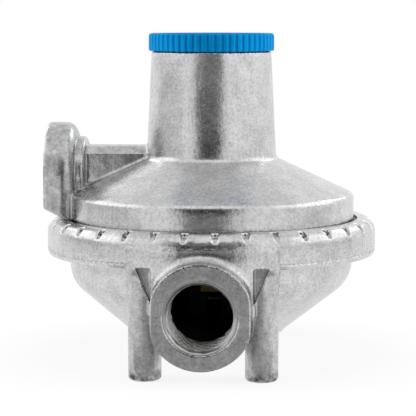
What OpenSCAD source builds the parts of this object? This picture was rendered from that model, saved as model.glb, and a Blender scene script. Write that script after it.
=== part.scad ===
// Low-pressure propane regulator: a die-cast body and bonnet clamp a rubber diaphragm,
// which works a lever and a valve disc against the inlet orifice.
// Millimetres. The floor is z = 0, the diaphragm's axis is Z, the outlet looks along -Y,
// the inlet along +Y and the vent along -X.

/* [Diaphragm case] */
// Outer radius of the rim that clamps the diaphragm
rim_r = 41.25; // [40.6:0.05:43]
// Height of the rim's underside above the floor
rim_z = 26.4; // [26:0.1:29]
// Width of the bevel along the rim's lower edge
rim_bevel_w = 0.35; // [0.2:0.05:0.8]
// Height of that bevel
rim_bevel_h = 1.15; // [0.4:0.05:1.4]
// Thickness of the body under the diaphragm's clamped edge
ledge_t = 3.6; // [2.8:0.1:4.2]
// Wall of the rim outside the bonnet's flange
rim_wall = 2.15; // [1.8:0.05:2.6]
// Thickness of the lip that is folded over the bonnet's flange
lip_t = 1.6; // [0.8:0.1:2.4]
// Rounding of the folded lip
lip_round = 3.4; // [3:0.1:4.4]
// Gap between the lip's inner edge and the bonnet's wall
lip_gap = 0.9; // [0.5:0.1:1.4]
// Number of stake notches round the lip
notch_count = 34; // [24:1:40]
// Width of a stake notch
notch_w = 1.6; // [1.4:0.1:2.6]
// Depth of a stake notch below the bonnet's flange
notch_drop = 0.1; // [0.05:0.05:0.4]
// Angle of the first notch from the outlet's axis, in degrees
notch_first = 4.45; // [0:0.05:10]

/* [Bowl] */
// Distance of the bowl's upright wall inside the rim
bowl_inset = 5.75; // [5:0.05:6.6]
// Thickness of the bowl's wall and floor
bowl_wall = 2.8; // [2.2:0.1:3.2]
// Height of the bowl's base above the floor
bowl_base_z = 5.1; // [4.6:0.1:5.6]
// Radius of the bowl's flat base
bowl_base_r = 18.0; // [17:0.1:19]
// Slope of the bowl's side, in degrees above level
bowl_slope = 40.5; // [38:0.5:42]
// Radius of the corner between the slope and the upright wall
bowl_corner_r = 8.5; // [6:0.1:9.5]

/* [Feet] */
// Radius of a foot under the rim
foot_r = 4.05; // [3.6:0.05:4.4]
// Radius of a foot at the floor
foot_tip_r = 3.9; // [3.4:0.05:4.2]
// Rounding at a foot's lower edge
foot_round = 1.0; // [0.3:0.05:1.3]
// Distance of a foot's centre from the plane through both ports
foot_x = 13.8; // [13.4:0.1:15]
// Distance of a foot's centre inside the rim
foot_inset = 4.28; // [4.1:0.02:4.8]
// Half the width of the pad that joins two feet to the rim
pad_half_w = 17.8; // [16:0.1:19]
// Height of that pad on the rim
pad_h = 5.4; // [3:0.1:5.8]
// How far that pad stands proud of the rim
pad_proud = 0.4; // [0.2:0.05:0.7]

/* [Ports] */
// Height of both ports' axis
port_z = 16.55; // [16.3:0.05:17]
// How far a port's face stands out past the rim
port_stand = 5.05; // [4.4:0.05:6.5]
// Radius of the boss round a port
boss_r = 12.5; // [12.2:0.1:12.9]
// Half the width across a boss's wrench flats
boss_flat = 11.6; // [11.2:0.1:11.9]
// Thread bore of the outlet, at the crests of a 3/8 in taper pipe thread
outlet_r = 7.6; // [7.3:0.05:7.9]
// Depth of the outlet's thread
outlet_depth = 14.0; // [12:0.5:15]
// Radius of the passage behind the outlet's thread
outlet_throat_r = 7.25; // [5:0.05:7.4]
// Width of the chamfer at the outlet's mouth
outlet_chamfer = 1.3; // [0.8:0.1:1.8]
// Thread bore of the inlet, at the crests of a 1/4 in taper pipe thread
inlet_r = 5.65; // [5.4:0.05:5.9]
// Depth of the inlet's thread
inlet_depth = 13.0; // [11:0.5:13.5]
// Width of the chamfer at the inlet's mouth
inlet_chamfer = 1.35; // [0.8:0.05:1.8]
// Depth of the cored pockets between the boss and the feet
pocket_d = 2.8; // [2:0.1:6]
// Height of a pocket
pocket_h = 8.6; // [6:0.1:9]
// Width of a pocket at its top
pocket_w = 3.6; // [2.4:0.1:4]
// Height by which a pocket reaches into the rim
pocket_rise = 0.6; // [0.2:0.1:1.2]
// Thickness of the web left between a pocket and the boss's wrench flat
pocket_skin = 0.4; // [0.3:0.05:0.8]

/* [Bonnet] */
// Distance of the bonnet's upright wall inside the rim
bonnet_inset = 5.45; // [5.2:0.05:6]
// Thickness of the bonnet's upright wall
bonnet_wall = 2.8; // [2.2:0.1:3]
// Thickness of the bonnet's flange under the lip
bonnet_flange_t = 2.7; // [2.2:0.1:3.2]
// Side clearance of the bonnet's flange in the rim
flange_gap = 0.1; // [0.05:0.05:0.3]
// Height of the bonnet's wall from its flange face to the cone's edge
bonnet_wall_h = 10.1; // [9.4:0.1:12]
// Rounding of the cone's edge
bonnet_edge_r = 1.4; // [0.4:0.1:1.5]
// Slope of the bonnet's cone, in degrees above level
cone_slope = 25; // [22:0.5:28]
// Thickness of the cone's wall
cone_wall = 2.5; // [2:0.1:3]
// Outer radius of the spring tower where it leaves the cone
tower_base_r = 16.3; // [15.8:0.1:17]
// Outer radius of the spring tower at its top
tower_top_r = 15.0; // [14.7:0.1:15.4]
// Height of the spring tower above the cone
tower_h = 26.2; // [24.5:0.1:28]
// Fillet round the foot of the spring tower
tower_fillet = 1.8; // [1:0.1:2.5]
// Bore of the spring tower, at its thread's crests
tower_bore_r = 12.55; // [12.3:0.05:12.8]

/* [Vent] */
// Distance of the vent's face inside the rim
vent_inset = 0.25; // [0.1:0.05:0.6]
// Radius of the vent's flange
vent_flange_r = 12.6; // [11.8:0.1:13]
// Thickness of the vent's flange
vent_flange_t = 7.2; // [6.8:0.1:7.6]
// Rounding behind the vent's flange
vent_flange_round = 3.0; // [1.5:0.1:4]
// Height of the vent's axis above the bonnet's flange face
vent_rise = 15.3; // [15:0.1:16]
// Gap between the vent's flange and the lip
vent_lip_gap = 1.5; // [0.8:0.1:3]
// Radius of the neck behind the vent's flange
vent_neck_r = 9.0; // [8:0.1:10]
// Length of the neck behind the vent's flange
vent_neck_l = 2.4; // [1.6:0.1:3.2]
// Half the width of the duct between vent and tower
duct_half_w = 5.0; // [4.6:0.1:5.5]
// Height of the duct's top above the vent's axis
duct_rise = 6.8; // [6:0.1:7.4]
// Radius of the vent's passage
vent_bore_r = 3.2; // [2.5:0.1:3.6]
// Radius of the recess in the vent's face
vent_recess_r = 8.0; // [7.4:0.1:8.4]
// Depth of the recess in the vent's face
vent_recess_d = 2.7; // [2.3:0.1:3]

/* [Vent screen] */
// Thickness of the insect screen
screen_t = 0.4; // [0.3:0.05:0.6]
// Width of a wire in the screen
screen_wire = 0.45; // [0.3:0.05:0.6]
// Pitch of the wires in the screen
screen_pitch = 1.75; // [1.4:0.05:2.2]
// Width of the screen's solid edge
screen_edge = 0.9; // [0.6:0.1:1.2]
// Thickness of the ring that holds the screen
ring_t = 0.8; // [0.6:0.05:1]
// Radial width of that ring
ring_w = 1.1; // [0.8:0.05:1.4]
// Opening of that ring, in degrees
ring_gap_angle = 36; // [20:1:60]

/* [Diaphragm and relief valve] */
// Thickness of the diaphragm
diaphragm_t = 1.0; // [0.8:0.05:1.2]
// How far the diaphragm's middle hangs below its clamped edge at rest
diaphragm_sag = 1.0; // [0.6:0.1:1.3]
// Radius of the diaphragm's rolled convolution, at mid thickness
roll_r = 3.2; // [2.6:0.1:3.4]
// Clearance of the convolution inside the bonnet
roll_room = 0.1; // [0.05:0.05:0.4]
// Space between the diaphragm plate and the convolution
plate_room = 0.5; // [0.4:0.05:1.5]
// Sheet thickness of the diaphragm plate
plate_t = 1.0; // [0.8:0.05:1.3]
// Height of the plate's turned-up edge above the sheet
plate_edge_h = 1.8; // [1:0.1:2.4]
// Radius of the pusher post's shank
post_r = 3.0; // [2.6:0.05:3.2]
// Running clearance of the plate on the post
post_gap = 0.08; // [0.05:0.01:0.1]
// Radius of the post's flange under the diaphragm
post_flange_r = 6.5; // [5.8:0.1:7.5]
// Thickness of that flange
post_flange_t = 1.2; // [1:0.1:1.6]
// Half the width of the post's foot, across the lever
post_foot_x = 4.0; // [3.6:0.1:5]
// Half the depth of the post's foot, along the lever
post_foot_y = 2.5; // [2:0.1:3]
// Thickness of the post's foot under the lever
post_foot_t = 1.7; // [1.2:0.1:2.2]
// Free height between the plate and the relief spring's seat
relief_h = 9.6; // [8.5:0.1:11]
// Mean radius of the relief spring's coil
relief_coil_r = 4.1; // [3.9:0.1:4.6]
// Wire diameter of the relief spring
relief_wire = 0.9; // [0.7:0.05:1.1]
// Turns of the relief spring
relief_turns = 5; // [4:1:6]
// Thickness of the relief spring's seat
relief_seat_t = 1.0; // [0.8:0.1:1.4]
// Width across the flats of the relief nut
relief_nut_af = 8.0; // [7.5:0.1:9]
// Thickness of the relief nut
relief_nut_t = 2.5; // [2:0.1:3]
// Length of post that shows above the relief nut
post_tail = 1.5; // [1:0.1:2]

/* [Lever and valve] */
// Distance of the lever's pivot from the diaphragm's axis
pivot_y = 18.0; // [17.6:0.1:18.6]
// Height of the valve's axis above the lever's pivot
lever_short = 4.95; // [4.9:0.05:5.3]
// Height of the lever's long arm above the valve's axis, at its middle
lever_rise = 7.05; // [6.8:0.05:7.4]
// Thickness of the lever's long arm
lever_t = 2.0; // [1.6:0.1:2.2]
// Thickness of the lever's upright arm
lever_stem_t = 1.6; // [1.2:0.1:1.8]
// Width of the lever
lever_w = 3.0; // [2.4:0.1:3.4]
// Length of lever past the post's axis
lever_past = 3.8; // [3.4:0.1:5]
// Radius of the lever's nose in the valve's slot
nose_r = 1.4; // [1.3:0.05:1.5]
// Running clearance of the nose in the valve's slot
nose_gap = 0.05; // [0.03:0.01:0.08]
// Radius of the lever's pin
pin_r = 1.25; // [1:0.05:1.35]
// Running clearance of the lever on its pin
pin_gap = 0.05; // [0.02:0.01:0.08]
// Radius of the lever's hub
hub_r = 2.2; // [1.9:0.05:2.25]
// Side clearance of the lever between the guide's cheeks and in the post
lever_gap = 0.3; // [0.2:0.05:0.4]
// Half the height of the disc holder's bar
bar_half_h = 2.45; // [2.2:0.05:2.5]
// Half the width of the disc holder's bar
bar_half_w = 3.5; // [3.3:0.1:4]
// Length of the disc holder's bar behind the pivot
bar_tail = 6.0; // [5:0.1:7]
// Clearance round the disc holder's bar in its guide
bar_gap = 0.1; // [0.05:0.05:0.2]
// Thickness of the guide's cheeks
cheek_t = 3.0; // [2.4:0.1:3.4]
// Length by which the disc holder's bar sticks out of its guide
bar_out = 1.0; // [0.5:0.1:1.5]
// Distance from the pivot to the disc holder's head
head_y = 2.4; // [2.3:0.05:2.6]
// Space between the guide and the disc holder's head
head_gap = 0.4; // [0.3:0.05:0.6]
// Radius of the disc holder's head
head_r = 4.6; // [4.2:0.1:5]
// Thickness of the disc holder's head
head_t = 2.0; // [1.8:0.1:2.4]
// Radius of the valve disc
disc_r = 3.5; // [3.2:0.1:3.8]
// Thickness of the valve disc
disc_t = 2.0; // [1.6:0.1:2.2]
// Opening between the disc and the orifice at rest
valve_gap = 0.6; // [0.58:0.01:0.8]
// Radius of the orifice's gas bore
orifice_bore_r = 1.3; // [1:0.05:1.6]
// Radius of the orifice's seat
orifice_seat_r = 2.4; // [2.1:0.1:2.8]
// Length of the orifice's seat cone
orifice_cone_l = 1.0; // [0.8:0.1:1.4]
// Width across the flats of the orifice
orifice_af = 10.0; // [9:0.1:10.5]
// Thickness of the orifice's hexagon
orifice_hex_t = 2.0; // [1.6:0.1:2.4]
// Radius of the orifice's threaded shank
orifice_shank_r = 4.0; // [3.6:0.1:4.4]
// Length by which the orifice's shank stops short of the inlet's thread
orifice_setback = 0.3; // [0.1:0.1:0.6]
// Clearance round the orifice's hexagon in the pocket cut for it
orifice_room = 0.6; // [0.4:0.1:1]
// Wall of the cast boss round that pocket
orifice_boss_wall = 1.0; // [0.6:0.1:1.6]

/* [Main spring and adjuster] */
// Mean radius of the main spring's coil
coil_r = 9.2; // [8.9:0.1:9.6]
// Wire diameter of the main spring
coil_wire = 1.6; // [1.3:0.1:1.8]
// Turns of the main spring
coil_turns = 8; // [6:1:9]
// Height of the rings that centre the main spring
locator_h = 1.5; // [1:0.1:2]
// Radial width of those rings
locator_w = 1.0; // [0.8:0.1:1.3]
// Clearance between those rings and the main spring
locator_gap = 0.4; // [0.3:0.05:0.6]
// Thickness of the upper spring seat
seat_t = 1.2; // [1:0.1:1.6]
// Clearance of the upper spring seat in the tower's bore
seat_gap = 0.7; // [0.5:0.05:1]
// Thickness of the adjusting screw
screw_t = 7.0; // [6:0.1:8]
// Width across the flats of the hexagon through the adjusting screw
screw_af = 11.0; // [9:0.1:13]
// Thread clearance of the adjusting screw and the cap in the tower
thread_gap = 0.05; // [0.02:0.01:0.08]
// Space between the adjusting screw and the cap at rest
screw_gap = 2.4; // [2.3:0.1:4]

/* [Closing cap] */
// Radius of the cap over its flutes
cap_r = 15.72; // [15.6:0.02:16.2]
// Height of the cap's head
cap_h = 4.4; // [3.8:0.1:5]
// Rounding of the cap's upper edge
cap_round = 0.8; // [0.4:0.1:1.2]
// Number of flutes round the cap
flute_count = 56; // [48:1:60]
// Radius of one flute
flute_r = 0.5; // [0.4:0.05:0.55]
// Depth of one flute
flute_d = 0.3; // [0.2:0.05:0.35]
// Length of the cap's threaded plug
plug_h = 6.0; // [5:0.1:6.4]
// Wall of the cap's threaded plug
plug_wall = 2.2; // [1.6:0.1:3]
// Thickness of the cap's top
cap_top_t = 2.2; // [1.6:0.1:2.6]
// Depth of the shallow dish in the cap's top
cap_dish_d = 0.4; // [0.2:0.1:0.6]
// Width of the raised edge round that dish
cap_dish_edge = 2.2; // [1.6:0.1:3]
// Thickness of the cap's gasket
gasket_t = 0.5; // [0.4:0.05:0.8]
// Radial width of the cap's gasket
gasket_w = 1.7; // [1.4:0.05:1.8]
// Clearance of the gasket round the plug
gasket_gap = 0.35; // [0.3:0.05:0.4]

/* [Hidden] */
$fn = 96;
arc_steps = 8;             // straight steps in one drawn arc
over = 1;                  // how far a cut runs past the face that it opens
bond = 0.02;               // how far two solids of one piece reach into each other

// Plan of the case: what stands on or beside the rim keeps its distance from it
bowl_r = rim_r - bowl_inset;
bonnet_r = rim_r - bonnet_inset;
foot_y = sqrt((rim_r - foot_inset) ^ 2 - foot_x ^ 2);
port_reach = rim_r + port_stand;
vent_reach = rim_r - vent_inset;

// Heights of the case
ledge_z = rim_z + ledge_t;
clamp_z = ledge_z + diaphragm_t;
lip_z = clamp_z + bonnet_flange_t;
lip_top = lip_z + lip_t;
edge_z = clamp_z + bonnet_wall_h;
tower_z = edge_z + (bonnet_r - tower_base_r) * tan(cone_slope);
tower_top = tower_z + tower_h;
vent_z = clamp_z + vent_rise;
vent_bottom = lip_top + vent_lip_gap;

// Radii of the case
rim_bore = rim_r - rim_wall;
flange_r = rim_bore - flange_gap;
lip_r = bonnet_r + lip_gap;
bowl_bore = bowl_r - bowl_wall;
bonnet_bore = bonnet_r - bonnet_wall;

// Bowl: the slope meets the upright wall in an arc, and the wall is the same all round it
bowl_corner_z = bowl_base_z + (bowl_r - bowl_base_r) * tan(bowl_slope)
    + bowl_corner_r * tan((90 - bowl_slope) / 2);
bowl_floor_z = bowl_base_z + bowl_wall;
bowl_floor_r = bowl_base_r + bowl_wall / tan(bowl_slope) - bowl_wall / sin(bowl_slope);

// Cone: its inside lies cone_wall below its outside
cone_drop = cone_wall / cos(cone_slope);
tower_draft = atan((tower_base_r - tower_top_r) / tower_h);

// Diaphragm stack at rest
hang_z = ledge_z - diaphragm_sag;
web_z = hang_z + diaphragm_t;
roll_x = bonnet_bore - roll_room - roll_r - diaphragm_t / 2;
plate_r = roll_x - roll_r - diaphragm_t / 2 - plate_room;
plate_top = web_z + plate_t;
post_bore = post_r + post_gap;
relief_seat_z = plate_top + relief_h;
relief_nut_z = relief_seat_z + relief_seat_t;
post_top = relief_nut_z + relief_nut_t + post_tail;

// Lever and valve at rest
pivot_z = port_z - lever_short;
arm_z = port_z + lever_rise;
cheek_in = lever_w / 2 + lever_gap;
cheek_step = bar_half_w + bar_gap;
cheek_out = cheek_step + cheek_t;
slot_half = nose_r + nose_gap;
holder_y = pivot_y + head_y;
disc_y = holder_y + head_t - disc_t / 2;
disc_face = disc_y + disc_t;
orifice_tip = disc_face + valve_gap;
orifice_hex_y = orifice_tip + orifice_cone_l;
orifice_face = orifice_hex_y + orifice_hex_t;
inlet_end = port_reach - inlet_depth;
orifice_pocket_r = orifice_af / 2 / cos(30) + orifice_room;
guide_end = holder_y - head_gap;
guide_start = pivot_y - bar_tail + bar_out;
window_low = lever_t / 2 + lever_gap;
window_high = lever_t / 2 + 2 * lever_gap;

// Tower pieces at rest
gasket_z = tower_top + gasket_t;
plug_bottom = gasket_z - plug_h;
screw_top = plug_bottom - screw_gap;
screw_bottom = screw_top - screw_t;
seat_bottom = screw_bottom - seat_t;
thread_r = tower_bore_r - thread_gap;
locator_r = coil_r - coil_wire / 2 - locator_gap;

function arc(c, r, a0, a1) =
    [for (i = [0:arc_steps]) let (a = a0 + (a1 - a0) * i / arc_steps) c + r * [cos(a), sin(a)]];

// A cylinder along +Y from y0 to y1, on an axis at height z
module along_y(r, y0, y1, z) {
    translate([0, y1, z]) rotate([90, 0, 0]) cylinder(r = r, h = y1 - y0);
}

// A countersink along Y, r wide at y0 and grow wider at y1
module flare_y(r, y0, y1, z, grow) {
    low = min(y0, y1);
    length = abs(y1 - y0);
    wide_low = y1 < y0;
    translate([0, low, z]) rotate([-90, 0, 0])
        cylinder(h = length, r1 = wide_low ? r + grow : r, r2 = wide_low ? r : r + grow);
}

// Puts its children, drawn with their depth along +Z and their top along +X, on the vent's axis
module on_vent_axis() {
    translate([0, 0, vent_z]) rotate([0, -90, 0]) children();
}

// A round wire coiled about Z from z0 to z1: mean radius r, with closer turns at both ends
coil_sides = 6;
coil_rings = 20;
coil_end_gap = 0.5;        // space between the end turns and the next ones
function coil_climb(t, turns, h, wire) =
    let (close = wire + coil_end_gap, open = (h - wire - 2 * close) / (turns - 2))
    t < 1 ? close * t : t > turns - 1 ? close + open * (turns - 2) + close * (t - turns + 1)
    : close + open * (t - 1);
module coil(r, wire, turns, z0, z1) {
    steps = turns * coil_rings;
    points = [
        for (i = [0:steps])
            let (t = i / coil_rings, a = 360 * t, z = z0 + wire / 2 + coil_climb(t, turns, z1 - z0, wire))
            for (k = [0:coil_sides - 1])
                let (b = 360 * k / coil_sides, u = r + wire / 2 * cos(b))
                [u * cos(a), u * sin(a), z + wire / 2 * sin(b)]
    ];
    sides = [
        for (i = [0:steps - 1], k = [0:coil_sides - 1])
            let (n = (k + 1) % coil_sides, p = i * coil_sides, q = p + coil_sides)
            each [[p + k, q + k, q + n], [p + k, q + n, p + n]]
    ];
    ends = [
        for (k = [1:coil_sides - 2])
            each [[0, k, k + 1], [steps * coil_sides, steps * coil_sides + k + 1, steps * coil_sides + k]]
    ];
    polyhedron(points = points, faces = concat(sides, ends), convexity = 10);
}

// ---- body casting -------------------------------------------------------------------

module bowl_outside() {
    rotate_extrude() polygon(concat(
        [[0, bowl_base_z], [bowl_base_r, bowl_base_z]],
        arc([bowl_r - bowl_corner_r, bowl_corner_z], bowl_corner_r, bowl_slope - 90, 0),
        [[bowl_r, rim_z], [rim_r - rim_bevel_w, rim_z], [rim_r, rim_z + rim_bevel_h]],
        arc([rim_r - lip_round, lip_top - lip_round], lip_round, 0, 90),
        [[0, lip_top]]
    ));
}

module bowl_inside() {
    rotate_extrude() polygon(concat(
        [[0, bowl_floor_z], [bowl_floor_r, bowl_floor_z]],
        arc([bowl_r - bowl_corner_r, bowl_corner_z], bowl_corner_r - bowl_wall, bowl_slope - 90, 0),
        [[bowl_bore, ledge_z], [rim_bore, ledge_z], [rim_bore, lip_z], [lip_r, lip_z]],
        [[lip_r, lip_top + over], [0, lip_top + over]]
    ));
}

// The two bosses are the ends of one keel that runs under the bowl from port to port
module port_keel() {
    intersection() {
        along_y(boss_r, -port_reach, port_reach, port_z);
        translate([-boss_flat, -port_reach - over, 0])
            cube([2 * boss_flat, 2 * (port_reach + over), port_z + 2 * boss_r]);
    }
}

// Web that fills the corners between the two bosses and the rim's underside
module port_web() {
    half_w = boss_flat + pocket_skin;
    intersection() {
        translate([0, 0, port_z]) cylinder(r = rim_r, h = rim_z + bond - port_z);
        translate([-half_w, -rim_r, port_z]) cube([2 * half_w, 2 * rim_r, rim_z]);
    }
}

module foot() {
    rotate_extrude() polygon(concat(
        [[0, 0]],
        arc([foot_tip_r - foot_round, foot_round], foot_round, -90, 0),
        [[foot_r, rim_z], [foot_r, ledge_z], [0, ledge_z]]
    ));
}

// A shallow pad on the rim above two feet, and the same on the other side
module rim_pads() {
    intersection() {
        translate([0, 0, rim_z]) cylinder(r = rim_r + pad_proud, h = pad_h);
        translate([-pad_half_w, -2 * rim_r, 0]) cube([2 * pad_half_w, 4 * rim_r, lip_top]);
    }
}

// A three-cornered pocket beside the boss, on the -Y side and the +X side
module core_pocket() {
    front = foot_y + foot_r;
    side = boss_flat + pocket_skin;
    top = rim_z + pocket_rise;
    translate([0, -front + pocket_d, 0]) rotate([90, 0, 0]) linear_extrude(height = pocket_d + 4 * over)
        polygon([[side, top - pocket_h], [side + pocket_w, top], [side, top]]);
}

// Notches right through the lip, down to just below the bonnet's flange
module stake_notches() {
    floor_z = lip_z - notch_drop;
    for (i = [0:notch_count - 1])
        rotate([0, 0, notch_first - 90 + i * 360 / notch_count])
            translate([lip_r - over, -notch_w / 2, floor_z])
                cube([rim_r - lip_r + 2 * over, notch_w, lip_top + over - floor_z]);
}

// Two stepped cheeks that carry the lever's pin and guide the disc holder between them
module valve_guide() {
    deep = bowl_base_z + bowl_wall / 2;
    bar_low = port_z - bar_half_h - bar_gap;
    for (side = [-1, 1]) scale([side, 1, 1]) {
        translate([cheek_in, guide_start, deep])
            cube([cheek_out - cheek_in, guide_end - guide_start, bar_low - deep]);
        translate([cheek_step, guide_start, deep])
            cube([cheek_t, guide_end - guide_start, port_z + bar_half_h - deep]);
    }
}

module body_casting() {
    color([0.70, 0.71, 0.72]) difference() {
        union() {
            difference() {
                union() {
                    bowl_outside();
                    port_keel();
                    port_web();
                    rim_pads();
                    for (x = [-foot_x, foot_x], y = [-foot_y, foot_y]) translate([x, y, 0]) foot();
                }
                bowl_inside();
            }
            valve_guide();
            along_y(orifice_pocket_r + orifice_boss_wall, orifice_face, inlet_end, port_z);
        }
        stake_notches();
        for (x = [-1, 1], y = [-1, 1]) scale([x, y, 1]) core_pocket();
        // outlet: chamfer, thread bore, throat into the bowl
        flare_y(outlet_r, -port_reach + outlet_chamfer, -port_reach, port_z, outlet_chamfer);
        along_y(outlet_r, -port_reach - over, -port_reach + outlet_depth, port_z);
        along_y(outlet_throat_r, -port_reach, -bowl_base_r, port_z);
        // inlet: chamfer, thread bore, hole for the orifice's shank
        flare_y(inlet_r, port_reach - inlet_chamfer, port_reach, port_z, inlet_chamfer);
        along_y(inlet_r, inlet_end, port_reach + over, port_z);
        along_y(orifice_shank_r, orifice_face - over, port_reach, port_z);
        // round pocket in the bowl's side for the orifice's hexagon and the disc holder's head
        along_y(orifice_pocket_r, guide_end, orifice_face, port_z);
        // groove in the bowl's floor for the lever's hub
        translate([-cheek_in, pivot_y, pivot_z]) rotate([0, 90, 0])
            cylinder(r = hub_r + lever_gap, h = 2 * cheek_in);
        // holes for the lever's pin
        translate([-cheek_out - over, pivot_y, pivot_z]) rotate([0, 90, 0])
            cylinder(r = pin_r, h = 2 * (cheek_out + over));
    }
}

// ---- bonnet casting -----------------------------------------------------------------

// Fillet in the corner between the cone and the tower, from the cone up
function tower_fillet_arc() =
    let (
        half = (90 + cone_slope + tower_draft) / 2,
        down = [cos(cone_slope), -sin(cone_slope)],
        up = [-sin(tower_draft), cos(tower_draft)],
        middle = (down + up) / norm(down + up),
        centre = [tower_base_r, tower_z] + middle * tower_fillet / sin(half)
    )
    arc(centre, tower_fillet, 270 - cone_slope, 180 + tower_draft);

module bonnet_outside() {
    edge_start = bonnet_edge_r * tan((90 - cone_slope) / 2);
    rotate_extrude() polygon(concat(
        [[0, clamp_z], [flange_r, clamp_z], [flange_r, lip_z], [bonnet_r, lip_z]],
        arc([bonnet_r - bonnet_edge_r, edge_z - edge_start], bonnet_edge_r, 0, 90 - cone_slope),
        tower_fillet_arc(),
        [[tower_top_r, tower_top], [0, tower_top]]
    ));
}

module bonnet_inside() {
    inner_edge = edge_z + (bonnet_r - bonnet_bore) * tan(cone_slope) - cone_drop;
    inner_tower = edge_z + (bonnet_r - tower_bore_r) * tan(cone_slope) - cone_drop;
    rotate_extrude() polygon([
        [0, clamp_z - over], [bonnet_bore, clamp_z - over], [bonnet_bore, inner_edge],
        [tower_bore_r, inner_tower], [tower_bore_r, tower_top + over], [0, tower_top + over]
    ]);
}

// Outline of the vent's flange in section: radius against distance from the main axis
function vent_flange_outline() = concat(
    [[0, vent_reach - vent_flange_t]],
    arc([vent_flange_r - vent_flange_round, vent_reach - vent_flange_t + vent_flange_round],
        vent_flange_round, -90, 0),
    [[vent_flange_r, vent_reach], [0, vent_reach]]
);

// Arched flange: round above its axis, square below down to the lip
module vent_flange() {
    drop = vent_z - vent_bottom;
    difference() {
        on_vent_axis() rotate_extrude() polygon(vent_flange_outline());
        translate([-vent_reach - over, -2 * vent_flange_r, vent_bottom - 2 * vent_flange_r])
            cube([vent_flange_t + 2 * over, 4 * vent_flange_r, 2 * vent_flange_r]);
    }
    for (side = [-1, 1]) scale([1, side, 1])
        translate([0, 0, vent_bottom]) rotate([0, 0, 90]) linear_extrude(height = drop)
            polygon(vent_flange_outline());
}

module vent_duct() {
    neck_start = vent_reach - vent_flange_t - vent_neck_l;
    on_vent_axis() translate([0, 0, neck_start]) cylinder(r = vent_neck_r, h = vent_neck_l + over);
    translate([-neck_start - over, -duct_half_w, edge_z])
        cube([neck_start + over - tower_bore_r, 2 * duct_half_w, vent_z + duct_rise - edge_z]);
}

module bonnet_casting() {
    color([0.74, 0.75, 0.76]) difference() {
        union() {
            bonnet_outside();
            difference() {
                union() {
                    vent_flange();
                    vent_duct();
                }
                cylinder(r = flange_r + 2 * vent_reach, h = lip_z);
            }
        }
        bonnet_inside();
        on_vent_axis() translate([0, 0, tower_bore_r - over])
            cylinder(r = vent_bore_r, h = vent_reach - tower_bore_r + 2 * over);
        on_vent_axis() translate([0, 0, vent_reach - vent_recess_d])
            cylinder(r = vent_recess_r, h = vent_recess_d + over);
    }
}

// ---- vent screen --------------------------------------------------------------------

module vent_screen() {
    wires = floor(vent_recess_r / screen_pitch);
    color([0.55, 0.56, 0.57]) on_vent_axis() translate([0, 0, vent_reach - vent_recess_d]) {
        difference() {
            cylinder(r = vent_recess_r, h = screen_t);
            translate([0, 0, -over]) cylinder(r = vent_recess_r - screen_edge, h = screen_t + 2 * over);
        }
        intersection() {
            cylinder(r = vent_recess_r - screen_edge / 2, h = screen_t);
            for (turn = [0, 90]) rotate([0, 0, turn]) for (i = [-wires:wires])
                translate([-vent_recess_r, i * screen_pitch - screen_wire / 2, 0])
                    cube([2 * vent_recess_r, screen_wire, screen_t]);
        }
    }
}

module vent_ring() {
    gap_w = 2 * vent_recess_r * sin(ring_gap_angle / 2);
    color([0.42, 0.43, 0.44]) on_vent_axis()
        translate([0, 0, vent_reach - vent_recess_d + screen_t]) difference() {
            cylinder(r = vent_recess_r, h = ring_t);
            translate([0, 0, -over]) cylinder(r = vent_recess_r - ring_w, h = ring_t + 2 * over);
            translate([-2 * vent_recess_r, -gap_w / 2, -over])
                cube([2 * vent_recess_r, gap_w, ring_t + 2 * over]);
        }
}

// ---- diaphragm and relief valve -----------------------------------------------------

module diaphragm() {
    half_t = diaphragm_t / 2;
    color([0.10, 0.10, 0.11]) union() {
        // clamped edge
        translate([0, 0, ledge_z]) difference() {
            cylinder(r = flange_r, h = diaphragm_t);
            translate([0, 0, -over]) cylinder(r = roll_x + roll_r, h = diaphragm_t + 2 * over);
        }
        // rolled convolution, with a short upright wall down to the web
        rotate_extrude() polygon(concat(
            [[roll_x + roll_r - half_t, ledge_z], [roll_x + roll_r + half_t, ledge_z]],
            arc([roll_x, ledge_z], roll_r + half_t, 0, 180),
            [[roll_x - roll_r - half_t, hang_z], [roll_x - roll_r + half_t, hang_z]],
            arc([roll_x, ledge_z], roll_r - half_t, 180, 0)
        ));
        // web on the post's flange
        translate([0, 0, hang_z]) difference() {
            cylinder(r = roll_x - roll_r, h = diaphragm_t);
            translate([0, 0, -over]) cylinder(r = post_bore + lever_gap, h = diaphragm_t + 2 * over);
        }
    }
}

module ring_on(z, r, w, h) {
    translate([0, 0, z]) difference() {
        cylinder(r = r, h = h);
        translate([0, 0, -over]) cylinder(r = r - w, h = h + 2 * over);
    }
}

module diaphragm_plate() {
    color([0.66, 0.66, 0.64]) union() {
        ring_on(web_z, plate_r, plate_r - post_bore, plate_t);
        ring_on(web_z, plate_r, plate_t, plate_t + plate_edge_h);
        ring_on(web_z, locator_r, locator_w, plate_t + locator_h);
    }
}

module pusher_post() {
    foot_top = hang_z - post_flange_t;
    foot_bottom = arm_z - window_low - post_foot_t;
    color([0.80, 0.66, 0.36]) difference() {
        union() {
            translate([0, 0, foot_top]) cylinder(r = post_flange_r, h = post_flange_t);
            translate([0, 0, foot_top]) cylinder(r = post_r, h = post_top - foot_top);
            translate([-post_foot_x, -post_foot_y, foot_bottom])
                cube([2 * post_foot_x, 2 * post_foot_y, foot_top + bond - foot_bottom]);
        }
        translate([-cheek_in, -post_foot_y - over, arm_z - window_low])
            cube([2 * cheek_in, 2 * (post_foot_y + over), window_low + window_high]);
    }
}

module relief_spring() {
    color([0.60, 0.61, 0.62])
        coil(relief_coil_r, relief_wire, relief_turns, plate_top, relief_seat_z);
}

module relief_seat() {
    color([0.66, 0.66, 0.64])
        ring_on(relief_seat_z, relief_coil_r + relief_wire, relief_coil_r + relief_wire - post_r, relief_seat_t);
}

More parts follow.
